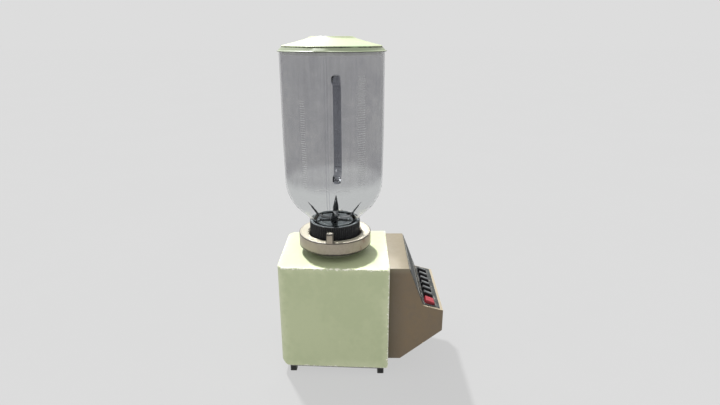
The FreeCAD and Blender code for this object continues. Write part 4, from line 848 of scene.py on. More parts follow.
class JarSettings(bpy.types.PropertyGroup):
    wall: length("Wall", "Thickness of the glass", 1.4 * MM)
    solid_wall: length("Solid wall", "Thickness of the glass in the solid model", 3.2 * MM)
    neck: length("Neck", "Outside radius of the neck", 26.8 * MM)
    neck_bore: length("Neck bore", "Inside radius of the neck", 23 * MM)
    cone_height: length("Cone height", "Height where the neck meets the cone", 185.6 * MM)
    low_radius: length("Low radius", "Outside radius where the side starts to taper", 58 * MM)
    radius: length("Radius", "Outside radius", 59 * MM)
    taper_top: length("Taper top", "Upper end of the taper", 290 * MM)
    knee: length("Knee", "Round between the cone and the side", 47.5 * MM)
    spout_centre: length("Spout centre", "Spout's own axis from the jar's", 50.5 * MM)
    spout_radius: length("Spout radius", "Spout's half width at the rim", 13.5 * MM)
    spout_depth: length("Spout depth", "Height of the spout", 40 * MM)
    handle_thick: length("Handle thickness", "Handle in the radial direction", 12 * MM)
    handle_width: length("Handle width", "Handle across", 11 * MM)
    tick_pitch: length("Tick pitch", "Spacing of the raised scale lines", 2.5 * MM)
    seam_offset: length("Seam offset", "First mould seam from the middle, on the spout's side", 2.4 * MM)
    seam_gap: length("Seam gap", "Between the two mould seams", 2.6 * MM)
    tide_height: length("Tide height", "Height below which the glass is clearer", 240 * MM)
    glass: colour("Glass", "Tint of the glass", (0.585, 0.585, 0.6))
    glass_other: colour("Other glass", "Tint of the glass in its hazy clouds", (0.645, 0.645, 0.65))
    glass_clear: colour("Clear glass", "Tint of the glass low down", (0.83, 0.84, 0.84))
    handle: colour("Handle", "Tint of the handle", (0.33, 0.34, 0.375))
    handle_other: colour("Other handle", "Tint of the handle in its clouds", (0.42, 0.43, 0.465))


class BaseOfJarSettings(bpy.types.PropertyGroup):
    ribs: IntProperty(name="Ribs", description="Grip ribs round the jar nut", default=72, min=12)
    rib_depth: length("Rib depth", "Depth of the grip ribs", 0.45 * MM)
    nut_hole: length("Nut hole", "Hole in the nut's ledge", 21 * MM)
    nut_floor: length("Nut floor", "Height of the nut's inner ledge", 163 * MM)
    bush: length("Bush", "Radius of the hole for the spindle's bush", 7.5 * MM)
    boss: length("Boss", "Radius of the blade holder's boss", 22.6 * MM)


class BladeSettings(bpy.types.PropertyGroup):
    thick: length("Thickness", "Blade strip", 1.2 * MM)
    bend: length("Bend", "Where a blade turns up, from the axis", 20 * MM)
    bow: length("Bow", "Rise of the blade's middle part out to its bend", 2.5 * MM)
    point_share: FloatProperty(name="Point share", description="Part of the blade that narrows to its tip",
                               default=0.4, min=0.05, max=1.0, subtype="FACTOR")
    bore: length("Bore", "Hole for the spindle", 2.2 * MM)


class LidSettings(bpy.types.PropertyGroup):
    wall: length("Wall", "Thickness of the lid", 2.4 * MM)
    shoulder: length("Shoulder", "Radius of the crown's edge", 56.6 * MM)
    lip_height: length("Lip height", "Underside of the lid's lip", 384.3 * MM)
    groove_height: length("Groove height", "Middle of the groove under the crown", 389.2 * MM)
    groove_depth: length("Groove depth", "Depth of that groove", 0.8 * MM)
    plug_gap: length("Plug gap", "Between the lid's plug and the glass", 0.3 * MM)
    tab_width: length("Tab width", "Pull tab over the spout", 17 * MM)
    tab_turn: FloatProperty(name="Tab turn", description="Tab from the spout's side",
                            default=math.radians(-9), unit="ROTATION", subtype="ANGLE")
    cap_plug: length("Cap plug", "Radius of the filler cap's plug", 20.5 * MM)
    plastic: colour("Plastic", "Lid plastic", (0.6, 0.66, 0.44))
    plastic_shade: colour("Plastic shade", "Lid plastic where it has darkened", (0.5, 0.56, 0.34))
    plastic_green: colour("Green patch", "Greener patches of the lid", (0.5, 0.65, 0.38))
    # Darker green of the flared lip, painted shade.
    flange: colour("Flange", "Lid plastic of the flared lip", (0.29, 0.335, 0.22))
    # Near-white colour of the plug, painted backdrop light seen through the glass.
    plug: colour("Plug", "Lid plastic inside the jar", (0.85, 0.86, 0.83))
    # Colour of the painted shade in the lid's groove and of the painted shadow under its lip.
    dirt: colour("Dirt", "Dirt in the lid's groove and under its lip", (0.035, 0.035, 0.022))


class StageSettings(bpy.types.PropertyGroup):
    backdrop: colour("Backdrop", "Light from all round", (0.723, 0.723, 0.723))
    floor: colour("Floor", "Floor", (0.09, 0.09, 0.09))
    floor_glow: FloatProperty(name="Floor glow", description="Light of the pale floor's own, as on a light "
                              "table, which keeps its shadows faint", default=0.535)
    sun_strength: FloatProperty(name="Sun strength", description="Strength of the key light", default=5.3)
    sun_angle: FloatProperty(name="Sun size", description="Angle that the key light fills",
                             default=math.radians(4), unit="ROTATION", subtype="ANGLE")
    sun_from: FloatVectorProperty(name="Sun from", description="Direction to the key light",
                                  default=(0.68, 0.35, 1.0), subtype="DIRECTION")
    camera_place: FloatVectorProperty(name="Camera place", description="Where the camera stands",
                                      default=(-0.5707, -0.0347, 0.3966), unit="LENGTH",
                                      subtype="TRANSLATION")
    camera_towards: FloatVectorProperty(name="Camera towards", description="Where the camera looks",
                                        default=(0.9487, 0.00585, -0.3160), subtype="DIRECTION")
    camera_lens: FloatProperty(name="Lens", description="Focal length in millimetres", default=24.47,
                               unit="CAMERA")


# ---------------------------------------------------------------- operators

class COUNTERTOP_OT_casing(bpy.types.Operator):
    """Painted casing: a rounded box with a wall, open below, and a round hole in its top"""
    bl_idname = "countertop.casing"
    bl_label = "Casing"

    def execute(self, context):
        look = context.scene.blender_casing
        low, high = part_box("housing")
        sides = (low.x, high.x, low.y, high.y,
                 [look.crisp, look.crisp, look.rear_corner, look.rear_corner])
        path = rectangle(*sides, taper=look.taper)
        normals = inward(path)
        rear = smoothstep(0.3, 0.9, -normals[:, 1])
        foot = look.crisp + (look.rear_foot - look.crisp) * rear

        def ring(height, inset):
            """The outline moved inwards by an inset of its own at each point."""
            inset = np.broadcast_to(inset, len(path))
            return at_height(path + normals * inset[:, None], height)

        def frame_ring(height, inset):
            """The whole outline drawn smaller by an inset."""
            return at_height(rectangle(*sides, inset, look.taper), height)

        def circle(radius, height):
            """The outline's points drawn in to a circle round the axis."""
            return at_height(path / np.linalg.norm(path, axis=1)[:, None] * radius, height)

        turns = np.linspace(math.pi / 2, 0, ARC_STEPS + 1)
        rings = [ring(low.z + foot * (1 - math.sin(t)), foot * (1 - math.cos(t))) for t in turns]
        rings += [ring(height, 0) for height in np.linspace(low.z + look.rear_foot + GUARD,
                                                            high.z - look.crisp - GUARD, 10)]
        rings += [ring(high.z - look.crisp * (1 - math.sin(t)), look.crisp * (1 - math.cos(t)))
                  for t in turns[::-1]]
        rings += [frame_ring(high.z, look.crisp + GUARD)]
        rings += [circle(look.hole + gap, high.z) for gap in (GUARD, 0)]
        rings += [circle(look.hole, high.z - look.wall), frame_ring(high.z - look.wall, look.rear_corner),
                  frame_ring(high.z - look.wall - GUARD, look.wall),
                  frame_ring(low.z + look.rear_foot * 1.5, look.wall),
                  frame_ring(low.z + look.crisp, look.rear_foot + look.wall / 2)]
        make_piece("casing", loft(np.array(rings), wrap=True), "base", ["casing"], ("housing",))
        return {"FINISHED"}


class COUNTERTOP_OT_console(bpy.types.Operator):
    """Console with its label plate, key plate, key surround and printed numerals"""
    bl_idname = "countertop.console"
    bl_label = "Console"

    def execute(self, context):
        look = context.scene.blender_console
        softened_copy("console", "console_shell", ["console"], look.edge_round)
        label_turn = np.array(Matrix.Rotation(look.label_slope, 3, "X"))
        low, high = node_box("label_plate", label_turn)
        plate = slab(rectangle(low[0], high[0], low[1], high[1], 1.2 * MM),
                     edge_stations(low[2], high[2], look.plate_round, look.plate_round))
        margin, half = 3 * MM, 0.25 * MM
        lines = [slab(rectangle(low[0] + margin, high[0] - margin, y - half, y + half, 0.1 * MM),
                      edge_stations(high[2] - 0.1 * MM, high[2] + 0.12 * MM, 0.02 * MM, 0.04 * MM))
                 for y in (high[1] - margin, low[1] + 14 * MM)]
        make_piece("label_panel", placed(plate, label_turn), "base", ["panel_metal"],
                   ("label_plate",))
        make_piece("label_lines", placed(together(*lines), label_turn), "base", ["panel_ink"])
        self.numerals(look, label_turn, low[1] + 4.5 * MM, high[2])

        shelf = shelf_turn()
        low, high = node_box("key_plate", shelf)
        slot_low, slot_high = node_box("key_bezel", shelf)
        rim = look.slot_rim
        outer = rectangle(low[0], high[0], low[1], high[1], 1.2 * MM)
        front, rear = key_ends(shelf)
        inner = rectangle(slot_low[0] + rim, slot_high[0] - rim,
                          front - look.key_gap, rear + look.key_gap, 1 * MM)
        soft, top = look.plate_round, high[2]
        stations = [(outer, low[2], soft), (outer, low[2] + soft, 0), (outer, top - soft, 0),
                    (outer, top - soft * 0.3, soft * 0.3), (outer, top, soft),
                    (outer, top, 4 * soft), (inner, top, 0), (inner, low[2], 0)]
        rings = [at_height(path + inward(path) * inset, height) for path, height, inset in stations]
        make_piece("key_panel", placed(loft(np.array(rings), wrap=True), shelf), "base",
                   ["panel_metal"], ("key_plate",))

        outer = rectangle(slot_low[0], slot_high[0], slot_low[1], slot_high[1], 3 * MM)
        t = np.linspace(0, math.pi, 2 * ARC_STEPS + 1)
        across = np.concatenate([[0], (1 - np.cos(t)) / 2, [1]])
        floor, bead = slot_low[2], slot_high[2] - slot_low[2]
        heights = np.concatenate([[floor], floor + bead * (0.35 + 0.65 * np.sin(t)), [floor]])
        rings = [at_height(outer + (inner - outer) * share, height) for share, height in zip(across, heights)]
        make_piece("key_surround", placed(loft(np.array(rings), wrap=True), shelf), "base",
                   ["bezel_chrome"], ("key_bezel",))
        return {"FINISHED"}

    def numerals(self, look, turn, base_line, face):
        """Numerals 0 to 6 printed over their keys: text filled, thickened and laid on the panel."""
        keys = ["key_off"] + [f"key_{number}" for number in range(1, 7)]
        for number, key in enumerate(keys):
            low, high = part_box(key)
            curve = bpy.data.curves.new(f"numeral_{number}", "FONT")
            curve.body = str(number)
            curve.align_x = "CENTER"
            curve.size = look.numeral_height * 1.4
            curve.extrude = 0.06 * MM
            text = bpy.data.objects.new(f"numeral_{number}_text", curve)
            context = bpy.context
            context.scene.collection.objects.link(text)
            context.view_layer.update()
            mesh = bpy.data.meshes.new_from_object(text.evaluated_get(context.evaluated_depsgraph_get()))
            bpy.data.objects.remove(text)
            spot = Vector(turn @ np.array([(low.x + high.x) / 2, base_line, face + 0.02 * MM]))
            mesh.transform(Matrix.Translation(spot) @ Matrix(turn.tolist()).to_4x4())
            mesh.materials.clear()
            piece = bpy.data.objects.new(f"numeral_{number}", mesh)
            finish_piece(piece, "base", ["panel_ink"], ())


class COUNTERTOP_OT_keys(bpy.types.Operator):
    """Six speed keys with pale caps and the red off key"""
    bl_idname = "countertop.keys"
    bl_label = "Keys"

    def execute(self, context):
        look = context.scene.blender_keys
        shelf = shelf_turn()
        front, rear = key_ends(shelf)
        for key in ["key_off"] + [f"key_{number}" for number in range(1, 7)]:
            low, high = node_box(key, shelf)
            stem_end = low[2]
            body_low = high[2] - 13 * MM
            path = rectangle(low[0], high[0], front, rear, look.corner)

            def sloped(skin, share_low, share_high):
                """The solid with its top sheared down towards the front, the more the higher a point is."""
                points = skin.points.copy()
                share = np.clip((points[:, 2] - share_low) / (share_high - share_low), 0, 1)
                points[:, 2] -= share * look.front_drop * (rear - points[:, 1]) / (rear - front)
                return Skin(points, skin.quads, skin.tris)

            top = high[2] - look.cap_height
            block = sloped(slab(path, edge_stations(body_low, top, 0.3 * MM, 0.6 * MM)), body_low, top)
            red = key == "key_off"
            cap_path = path + inward(path) * look.cap_inset * (0.5 if red else 1)
            stations = edge_stations(top - 0.4 * MM, high[2], 0.1 * MM, 0.3 * MM)
            cap = sloped(slab(cap_path, stations), body_low, top)
            middle = np.array([(low[0] + high[0]) / 2, (front + rear) / 2])
            stem_path = middle + look.stem * np.stack([np.cos(np.arange(24) * TURN / 24),
                                                      np.sin(np.arange(24) * TURN / 24)], -1)
            stem = slab(stem_path, edge_stations(stem_end, body_low + 0.2 * MM, 0.3 * MM, 0.01 * MM))
            parts = together(block, stem, cap)
            first_cap = len(block.points) + len(stem.points)

            def cap_faces(mesh):
                """Faces whose first corner belongs to the cap."""
                starts = np.empty(len(mesh.polygons), int)
                corners = np.empty(len(mesh.loops), int)
                mesh.polygons.foreach_get("loop_start", starts)
                mesh.loops.foreach_get("vertex_index", corners)
                return corners[starts] >= first_cap

            make_piece(key + "_shown", placed(parts, shelf), key,
                       ["key_red", "key_red_top"] if red else ["key_black", "key_cap"], (key,), cap_faces)
        return {"FINISHED"}


class COUNTERTOP_OT_collar(bpy.types.Operator):
    """Collar ring with its dished top and two lugs, and the seat under it"""
    bl_idname = "countertop.collar"
    bl_label = "Collar"

    def execute(self, context):
        look = context.scene.blender_collar
        low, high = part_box("collar_ring")
        radius = high.y
        profile = rounded_path([
            (radius, low.z), (radius, look.rim_top), (radius - 2.2 * MM, look.rim_top + 0.01 * MM),
            (look.bore + 1.5 * MM, look.rim_top - look.dish), (look.bore, look.rim_top - look.dish - 2 * MM),
            (look.bore, low.z + look.floor), (look.hole, low.z + look.floor), (look.hole, low.z)],
            MM * np.array([1.2, 0.9, 1.2, 1, 1, 1.5, 0.5, 0.5]), guard=1.2 * MM)
        ring = lathe(profile, 160)
        half = look.lug_width / 2
        out = radius - 0.25 * MM
        t = np.linspace(-half, half, 9)
        bulge = np.sqrt(out ** 2 - t ** 2)
        inner = np.sqrt((out - look.lug_thick) ** 2 - t ** 2)
        outline = np.vstack([np.column_stack([bulge, t]), np.column_stack([inner, t])[::-1]])
        lug = slab(outline, edge_stations(look.rim_top - 5 * MM, high.z, 0.2 * MM, 1 * MM))
        lugs = [placed(lug, Matrix.Rotation(math.pi - side + look.lug_turn, 3, "Z")) for side in (0, math.pi)]
        make_piece("collar", together(ring, *lugs), "base", ["collar_metal"],
                   ("collar_ring",))
        low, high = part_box("collar_seat")
        profile = rounded_path([(high.x, low.z), (high.x, high.z), (look.hole, high.z), (look.hole, low.z)],
                               0.4 * MM, guard=0.6 * MM)
        # The seat takes the darker green, painted shade under the collar ring.
        make_piece("collar_pad", lathe(profile, 128), "base", ["seat_shade_paint"],
                   ("collar_seat",))
        return {"FINISHED"}


class COUNTERTOP_OT_jar(bpy.types.Operator):
    """Glass jar with its spout, seam and scale, and the glass handle"""
    bl_idname = "countertop.jar"
    bl_label = "Jar"

    def execute(self, context):
        look = context.scene.blender_jar
        low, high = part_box("jar")
        self.glass(look, low.z, high.z)
        self.scale(look)
        self.handle(look)
        return {"FINISHED"}

    def knee_height(self, look, wall):
        """Height where the cone would meet the side, for a surface moved inwards by a wall thickness."""
        return look.cone_height + look.low_radius - look.neck + wall * math.tan(math.pi / 8)

    def glass(self, look, bottom, top):
        """Outside and inside walls as rings r(t, z); at the spout r is the farther of the wall and of the
        spout's own cone, c cos t + sqrt(q^2 - c^2 sin^2 t), smoothly joined."""
        outside = rounded_path([
            (look.neck, bottom), (look.neck, look.cone_height),
            (look.low_radius, self.knee_height(look, 0)), (look.radius, look.taper_top), (look.radius, top)],
            [0, 1.2 * MM, look.knee, 0.15, 0], closed=False)
        inner_neck = look.neck_bore
        drop = look.wall * (math.sqrt(2) - 1)
        inside = rounded_path([
            (inner_neck, bottom), (inner_neck, look.cone_height + drop + inner_neck - look.neck + look.wall),
            (look.low_radius - look.wall, self.knee_height(look, look.wall)),
            (look.radius - look.wall, look.taper_top), (look.radius - look.wall, top)],
            [0, 3 * MM, look.knee - look.wall, 0.15, 0], closed=False)
        outer, inner = self.resampled(outside), self.resampled(inside)
        lip = np.array([[outer[-1][0] - 0.4 * MM, top], [inner[-1][0] + 0.4 * MM, top]])
        outer[-1][1] -= 0.4 * MM
        inner[-1][1] -= 0.4 * MM
        profile = np.vstack([outer, lip, inner[::-1]])
        thin = np.concatenate([np.zeros(len(outer)), [0.4 * MM, look.wall - 0.4 * MM],
                               np.full(len(inner), look.wall)])
        count = 256
        t = np.arange(count) * TURN / count
        share = np.clip((profile[:, 1] - (top - look.spout_depth)) / look.spout_depth, 0, 1)
        reach = np.maximum(look.spout_radius * share - thin, 1e-5)[:, None]
        away = math.pi - t
        away = (away + math.pi) % TURN - math.pi
        inside_root = reach ** 2 - (look.spout_centre * np.sin(away)) ** 2
        spout = np.where((inside_root > 0) & (np.cos(away) > 0),
                         look.spout_centre * np.cos(away) + np.sqrt(np.maximum(inside_root, 0)), 0)
        wall = profile[:, :1] + 0 * t
        blend = 0.0012
        gap = np.clip((spout - wall) / blend, -40, 40)
        radius = wall + np.where(share[:, None] > 0, blend * np.log1p(np.exp(gap)), 0)
        radius = np.where(spout > 0, radius, wall)
        rings = around(radius, t, profile[:, 1:])
        piece = make_piece("jar_glass", loft(rings, wrap=True), "jar", ["jar_glass"], ("jar",))
        piece.visible_shadow = False

    def resampled(self, path, step=2.4 * MM):
        """The path with its long runs divided into steps, evenly along its length."""
        lengths = np.concatenate([[0], np.cumsum(np.linalg.norm(np.diff(path, axis=0), axis=1))])
        places = np.unique(np.concatenate([lengths, np.arange(0, lengths[-1], step)]))
        keep = np.concatenate([[True], np.diff(places) > step / 20])
        places = places[keep]
        places[-1] = lengths[-1]
        return np.column_stack([np.interp(places, lengths, path[:, k]) for k in range(2)])

    def outer_radius(self, look, height):
        """Outside radius of the glass at a height on its side."""
        path = rounded_path([
            (look.neck, look.cone_height), (look.low_radius, self.knee_height(look, 0)),
            (look.radius, look.taper_top), (look.radius, 1.0)], [0, look.knee, 0.15, 0], closed=False)
        return np.interp(height, path[:, 1], path[:, 0])

    def scale(self, look):
        """Two columns of raised lines and a tide mark on the spout's side of the glass: bars bent round
        the wall, (r cos t, r sin t, z) with r the wall's own radius at z plus a little."""
        def bar(t, z, stand):
            """One bar: rings of four corners at the angles t and heights z, from the glass outwards."""
            out = np.array([-0.1 * MM, -0.1 * MM, stand, stand])
            radius = self.outer_radius(look, z) + out
            return loft(around(radius, t, z))

        lines = []
        for turn, width, low, high in ((150, 2.5, 240, 336), (214.5, 4.2, 243, 362)):
            middle = math.radians(turn)
            for number, height in enumerate(np.arange(low * MM, high * MM, look.tick_pitch)):
                half = width * MM * (1.25 if number % 5 == 0 else 1.0) / look.radius
                t = np.linspace(middle - half, middle + half, 5)[:, None] + np.zeros(4)
                z = height + 0.14 * MM * np.array([-1, 1, 1, -1]) + np.zeros_like(t)
                lines.append(bar(t, z, 0.1 * MM))
        for start, end, drop in ((161, 181, 2.5 * MM), (183, 201, 4 * MM)):
            t = np.linspace(math.radians(start), math.radians(end), 25)[:, None] + np.zeros(4)
            share = (t - t[0, 0]) / (t[-1, 0] - t[0, 0])
            arch = 3 * MM * np.sin(share * math.pi)
            z = look.tide_height - drop + arch + 0.14 * MM * np.array([-1, 1, 1, -1])
            lines.append(bar(t, z, 0.16 * MM))
        make_piece("jar_scale", together(*lines), "jar", ["scale_ink"])

    def handle(self, look):
        """Rounded bar carried along a C-shaped path from the wall out, down and back to the wall."""
        low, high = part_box("jar_handle")
        half = look.handle_thick / 2
        inner = look.radius - 1.0 * MM
        low_wall = self.outer_radius(look, low.z + half) - 1.0 * MM
        path = rounded_path([
            (inner, high.z - half), (high.x - half, high.z - half), (high.x - half, low.z + half),
            (low_wall, low.z + half)], [0, 13 * MM, 16 * MM, 0], closed=False)
        path = self.resampled(path, 3 * MM)
        outline = rectangle(-half, half, -look.handle_width / 2, look.handle_width / 2, 4.2 * MM)
        piece = make_piece("handle_glass", carried(outline, path), "jar",
                           ["handle_glass"], ("jar_handle",))
        piece.visible_shadow = False


class COUNTERTOP_OT_jar_base(bpy.types.Operator):
    """Ribbed jar nut and the blade holder with its rim, groove and key marks"""
    bl_idname = "countertop.jar_base"
    bl_label = "Jar base"

    def execute(self, context):
        look = context.scene.blender_jar_base
        jar = context.scene.blender_jar
        low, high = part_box("jar_nut")
        outer, bore = high.x, jar.neck + 0.4 * MM
        profile = rounded_path([
            (outer, low.z), (outer, high.z), (outer - 1.6 * MM, high.z),
            (outer - 1.9 * MM, high.z - 0.4 * MM),
            (bore, high.z - 0.4 * MM), (bore, look.nut_floor), (look.nut_hole, look.nut_floor),
            (look.nut_hole, low.z)], MM * np.array([0.8, 0.8, 0.15, 0.1, 0.2, 0.4, 0.4, 0.4]), guard=0.5 * MM)
        steps = 8
        count = look.ribs * steps
        t = np.arange(count) * TURN / count
        r, z = profile[:, :1], profile[:, 1:]
        side = smoothstep(outer - 1.2 * MM, outer - 0.2 * MM, r)
        side = side * smoothstep(low.z, low.z + 1.6 * MM, z) * smoothstep(0, 1.6 * MM, high.z - z)
        levels = np.linspace(low.z + 1.8 * MM, high.z - 1.8 * MM, SIDE_LEVELS)[:, None]
        r = np.concatenate([r, np.full_like(levels, outer)])
        z = np.concatenate([z, levels])
        side = np.concatenate([side, np.ones_like(levels)])
        order = self.up_the_side(r[:, 0], z[:, 0], outer)
        r, z, side = r[order], z[order], side[order]
        wave = look.rib_depth * (0.5 - 0.5 * np.cos(look.ribs * t)) ** 0.6
        radius = r - side * wave
        rings = around(radius, t, z)

        def top_faces(mesh):
            """Faces that look up from the nut's top, which take a paler grey as painted light."""
            middles, normals = face_middles(mesh)
            return (normals[:, 2] > 0.6) & (middles[:, 2] > high.z - 1.5 * MM)

        # The nut's top is painted a paler grey than its black sides, as painted light where the sun falls
        # through the glass.
        make_piece("nut", loft(rings, wrap=True), "jar", ["nut_plastic", "dark_plastic"],
                   ("jar_nut",), top_faces)

        low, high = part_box("blade_holder")
        rim = look.boss
        profile = rounded_path([
            (look.bush, low.z), (jar.neck, low.z), (jar.neck, low.z + 2.5 * MM), (rim, low.z + 2.5 * MM),
            (rim, high.z), (rim - 6 * MM, high.z - 0.1 * MM), (rim - 6.6 * MM, high.z - 0.5 * MM),
            (rim - 7.2 * MM, high.z - 0.1 * MM), (look.bush, high.z)], 0.2 * MM, guard=0.4 * MM)
        marks = []
        for side_turn in (math.pi / 2, -math.pi / 2):
            t = np.linspace(-0.28, 0.28, 9) + side_turn
            way = np.stack([np.cos(t), np.sin(t)], -1)
            outline = np.vstack([(rim - 3.5 * MM) * way, (rim - 4.7 * MM) * way[::-1]])
            stations = edge_stations(high.z - 0.4 * MM, high.z + 0.4 * MM, 0.05 * MM, 0.2 * MM)
            marks.append(slab(outline, stations))
        make_piece("holder", together(lathe(profile, 128), *marks), "jar", ["dark_plastic"],
                   ("blade_holder",))
        return {"FINISHED"}

    def up_the_side(self, r, z, outer):
        """Order of the profile's points with the added levels between the side's two ends."""
        count = len(r) - SIDE_LEVELS
        top = np.argmax((r[:count] > outer - 1e-6) & (z[:count] > z[:count].mean()))
        return np.concatenate([np.arange(top), np.arange(count, len(r)), np.arange(top, count)])


class COUNTERTOP_OT_blades(bpy.types.Operator):
    """Two crossed blades, bent up to sharp tips"""
    bl_idname = "countertop.blades"
    bl_label = "Blades"

    def execute(self, context):
        look = context.scene.blender_blades
        for node, turn in (("blade_lower", 0), ("blade_upper", math.pi / 2)):
            low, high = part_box(node)
            reach = max(high.x, high.y)
            half_width = min(high.x, high.y)
            self.blade(look, node, turn, low.z, high.z, reach, half_width)
        return {"FINISHED"}

    def blade(self, look, node, turn, floor, top, reach, half_width):
        """Strip along (x, z): a shallow bow z = b (x / f)^2 out to the bend f, then straight to the tip.

        It keeps its width until it narrows evenly over the last part of the way.
        """
        tip_x = reach - look.thick
        tip_z = top - floor - look.thick
        bow = np.linspace(look.bore + 0.1 * MM, look.bend, 9)
        straight = np.linspace(0, 1, 14)[1:]
        x = np.concatenate([bow, look.bend + straight * (tip_x - look.bend)])
        z = np.concatenate([look.bow * (bow / look.bend) ** 2, look.bow + straight * (tip_z - look.bow)])
        slope = np.gradient(z, x)
        way = np.concatenate([[0], np.cumsum(np.hypot(np.diff(x), np.diff(z)))])
        left = 1 - way / way[-1]
        half = half_width * np.clip(left / look.point_share, 0, 1) ** 0.9 + 0.12 * MM
        ahead = np.stack([1 / np.hypot(1, slope), slope / np.hypot(1, slope)], -1)
        normal = np.stack([-ahead[:, 1], ahead[:, 0]], -1)
        thick = look.thick * np.clip(left * 4, 0.3, 1)
        levels = ((0.0, 0.75), (0.35, 1.0), (0.65, 1.0), (1.0, 0.75))
        rings = [np.stack([x + normal[:, 0] * thick * level, hand * half * grow,
                           z + normal[:, 1] * thick * level], -1)
                 for hand, order in ((1, levels), (-1, levels[::-1])) for level, grow in order]
        wing = loft(np.array(rings).transpose(1, 0, 2))
        wings = [Skin(wing.points * (side, side, 1) + (0, 0, floor), wing.quads, wing.tris)
                 for side in (1, -1)]
        hub = rounded_path([(half_width * 1.05, floor), (half_width * 1.05, floor + look.thick),
                            (look.bore, floor + look.thick), (look.bore, floor)], 0.15 * MM, guard=0.1 * MM)
        make_piece(node + "_shown", placed(together(lathe(hub, 48), *wings), Matrix.Rotation(turn, 3, "Z")),
                   "blades", ["blade_steel"], (node,))


class COUNTERTOP_OT_lid(bpy.types.Operator):
    """Lid with its crown, groove, flared lip and pull tab, and the filler cap"""
    bl_idname = "countertop.lid"
    bl_label = "Lid and filler cap"

    def execute(self, context):
        look = context.scene.blender_lid
        jar = context.scene.blender_jar
        low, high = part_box("lid")
        cap_low, cap_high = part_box("filler_cap")
        lip = high.x
        shoulder = look.shoulder
        groove = look.groove_height
        recess = cap_high.x + 0.3 * MM
        hole = look.cap_plug + 0.3 * MM
        seat = cap_high.z - 3.3 * MM
        plug = jar.radius - jar.solid_wall - look.plug_gap
        profile = rounded_path([
            (plug, look.lip_height), (lip, look.lip_height), (lip, look.lip_height + 0.7 * MM),
            (lip - 1.6 * MM, look.lip_height + 1.3 * MM), (shoulder + 0.2 * MM, groove - 0.6 * MM),
            (shoulder - look.groove_depth, groove - 0.3 * MM),
            (shoulder - look.groove_depth, groove + 0.2 * MM),
            (shoulder, groove + 0.5 * MM), (shoulder - 1 * MM, groove + 1.3 * MM),
            (shoulder - 18 * MM, groove + 5.5 * MM), (recess + 3 * MM, seat + 1.2 * MM),
            (recess + 1 * MM, cap_high.z - 0.6 * MM), (recess, cap_high.z - 0.8 * MM), (recess, seat),
            (hole, seat), (hole, seat - 4 * MM), (recess, seat - 3.4 * MM),
            (shoulder - 18 * MM, groove + 3 * MM), (plug - look.wall, groove - 0.8 * MM),
            (plug - look.wall, low.z), (plug, low.z)],
            MM * np.array([0.2, 0.3, 0.3, 0.6, 0.2, 0.1, 0.1, 0.25, 1, 14, 3, 0.5, 0.2, 0.3, 0.3, 0.4, 1, 10,
                           1, 0.6, 0.6]), guard=0.6 * MM)
        count = 240
        t = np.arange(count) * TURN / count
        r, z = profile[:, :1], profile[:, 1:]
        away = (t - (math.pi + look.tab_turn) + math.pi) % TURN - math.pi
        half = look.tab_width / 2 / lip
        window = 1 - smoothstep(half * 0.85, half, np.abs(away))
        skirt = smoothstep(look.lip_height - 0.1 * MM, look.lip_height + 0.6 * MM, z)
        skirt = skirt * (1 - smoothstep(groove - 1.4 * MM, groove - 0.7 * MM, z)) * (r > shoulder)
        radius = r + np.minimum(skirt * window * 1.1 * MM, np.maximum(lip - r, 0))
        make_piece("lid_shell", loft(around(radius, t, z), wrap=True), "lid",
                   ["lid_plastic"], ("lid",))

        top, edge = cap_high.z, cap_high.x
        profile = rounded_path([
            (2 * MM, top - 0.5 * MM), (edge - 4.5 * MM, top - 0.4 * MM), (edge - 3.6 * MM, top), (edge, top),
            (edge, top - 3 * MM), (look.cap_plug, top - 3 * MM), (look.cap_plug, cap_low.z),
            (look.cap_plug - look.wall, cap_low.z), (look.cap_plug - look.wall, top - 3 * MM),
            (2 * MM, top - 3 * MM)],
            MM * np.array([0, 0.4, 0.6, 0.9, 0.5, 0.3, 0.5, 0.5, 0.5, 0]), closed=False, guard=0.6 * MM)
        make_piece("cap_shell", lathe(profile, 128, wrap=False), "filler_cap",
                   ["lid_plastic"], ("filler_cap",))
        return {"FINISHED"}


class COUNTERTOP_OT_feet(bpy.types.Operator):
    """Four square rubber feet"""
    bl_idname = "countertop.feet"
    bl_label = "Feet"

    def execute(self, context):
        for place in ("front_left", "front_right", "rear_left", "rear_right"):
            low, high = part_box("foot_" + place)
            foot = slab(rectangle(low.x, high.x, low.y, high.y, 1 * MM),
                        edge_stations(low.z, high.z, 0.6 * MM, 0.3 * MM))
            make_piece("rubber_foot_" + place, foot, "base", ["rubber"], ("foot_" + place,))
        return {"FINISHED"}


class COUNTERTOP_OT_inner_finishes(bpy.types.Operator):
    """Finish of every piece that keeps its CAD shape, by its material slot"""
    bl_idname = "countertop.inner_finishes"
    bl_label = "Inner finishes"

    def execute(self, context):
        for node in frame["nodes"].values():
            for slot in node.material_slots:
                slot.material = material(slot.material.name.split(".")[0])
        return {"FINISHED"}


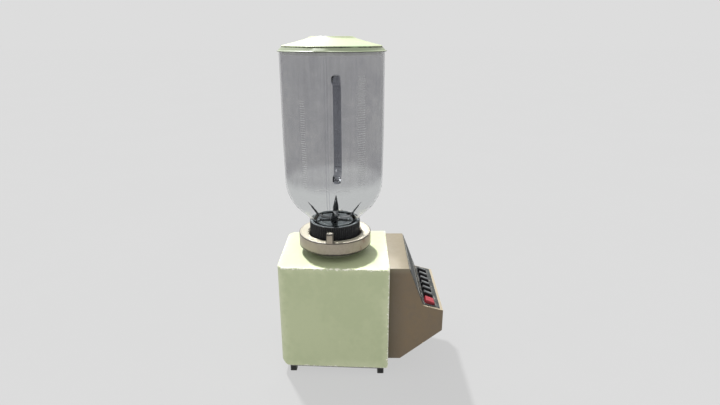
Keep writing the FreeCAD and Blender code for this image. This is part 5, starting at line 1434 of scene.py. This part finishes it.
class COUNTERTOP_OT_stage(bpy.types.Operator):
    """Pale floor, even light from all round, one soft key light and the camera"""
    bl_idname = "countertop.stage"
    bl_label = "Stage"

    def execute(self, context):
        look = context.scene.blender_stage
        scene = context.scene
        scene.view_settings.view_transform = "Standard"
        scene.view_settings.look = "None"
        world = bpy.data.worlds.new("even light")
        world.use_nodes = True
        world.node_tree.nodes["Background"].inputs["Color"].default_value = (*look.backdrop, 1)
        scene.world = world

        floor = self.floor(look)
        sun = bpy.data.lights.new("key_light", "SUN")
        sun.energy, sun.angle = look.sun_strength, look.sun_angle
        lamp = bpy.data.objects.new("key_light", sun)
        lamp.rotation_euler = Vector(look.sun_from).to_track_quat("Z", "Y").to_euler()
        scene.collection.objects.link(lamp)

        lens = bpy.data.cameras.new("camera")
        lens.lens, lens.sensor_width = look.camera_lens, 36.0
        camera = bpy.data.objects.new("camera", lens)
        camera.location = look.camera_place
        camera.rotation_euler = Vector(look.camera_towards).to_track_quat("-Z", "Y").to_euler()
        scene.collection.objects.link(camera)
        scene.camera = camera
        return {"FINISHED"}

    def floor(self, look):
        """A square floor of 40 m, plain but for a barely uneven roughness."""
        mesh = bpy.data.meshes.new("floor")
        size = 20.0
        mesh.from_pydata([(-size, -size, 0), (size, -size, 0), (size, size, 0), (-size, size, 0)], [],
                         [(0, 1, 2, 3)])
        made, tree, shader, place = new_material("floor finish", specular_ior_level=0.0,
                                                 emission_strength=look.floor_glow)
        shader.inputs["Emission Color"].default_value = (1, 1, 1, 1)
        cloud = mottled(tree, place, 3.0)
        connect(tree, shader, blend_colour(tree, cloud, look.floor, [c * 0.98 for c in look.floor]),
                spread(tree, cloud, 0.0, 1.0, 0.9, 0.95))
        mesh.materials.append(made)
        floor = bpy.data.objects.new("floor", mesh)
        bpy.context.scene.collection.objects.link(floor)
        return floor


SETTINGS = {
    "blender_casing": CasingSettings, "blender_console": ConsoleSettings, "blender_keys": KeySettings,
    "blender_collar": CollarSettings, "blender_jar": JarSettings, "blender_jar_base": BaseOfJarSettings,
    "blender_blades": BladeSettings, "blender_lid": LidSettings, "blender_stage": StageSettings,
}
OPERATORS = [
    COUNTERTOP_OT_casing, COUNTERTOP_OT_console, COUNTERTOP_OT_keys, COUNTERTOP_OT_collar,
    COUNTERTOP_OT_jar, COUNTERTOP_OT_jar_base, COUNTERTOP_OT_blades, COUNTERTOP_OT_lid,
    COUNTERTOP_OT_feet, COUNTERTOP_OT_inner_finishes, COUNTERTOP_OT_stage,
]


class COUNTERTOP_PT_pieces(bpy.types.Panel):
    """Lists the operators"""
    bl_label = "Countertop blender"
    bl_idname = "COUNTERTOP_PT_pieces"
    bl_space_type = "VIEW_3D"
    bl_region_type = "UI"
    bl_category = "Blender"

    def draw(self, context):
        for operator in OPERATORS:
            self.layout.operator(operator.bl_idname)


def register():
    for kind in (*SETTINGS.values(), *OPERATORS, COUNTERTOP_PT_pieces):
        bpy.utils.register_class(kind)
    for name, kind in SETTINGS.items():
        setattr(bpy.types.Scene, name, PointerProperty(type=kind))


def unregister():
    for name in SETTINGS:
        delattr(bpy.types.Scene, name)
    for kind in (COUNTERTOP_PT_pieces, *reversed(OPERATORS), *reversed(SETTINGS.values())):
        bpy.utils.unregister_class(kind)


def main():
    """Builds everything."""
    register()
    for operator in OPERATORS:
        getattr(bpy.ops.countertop, operator.bl_idname.split(".")[1])()
    bpy.context.view_layer.update()


if __name__ == "__main__":
    main()
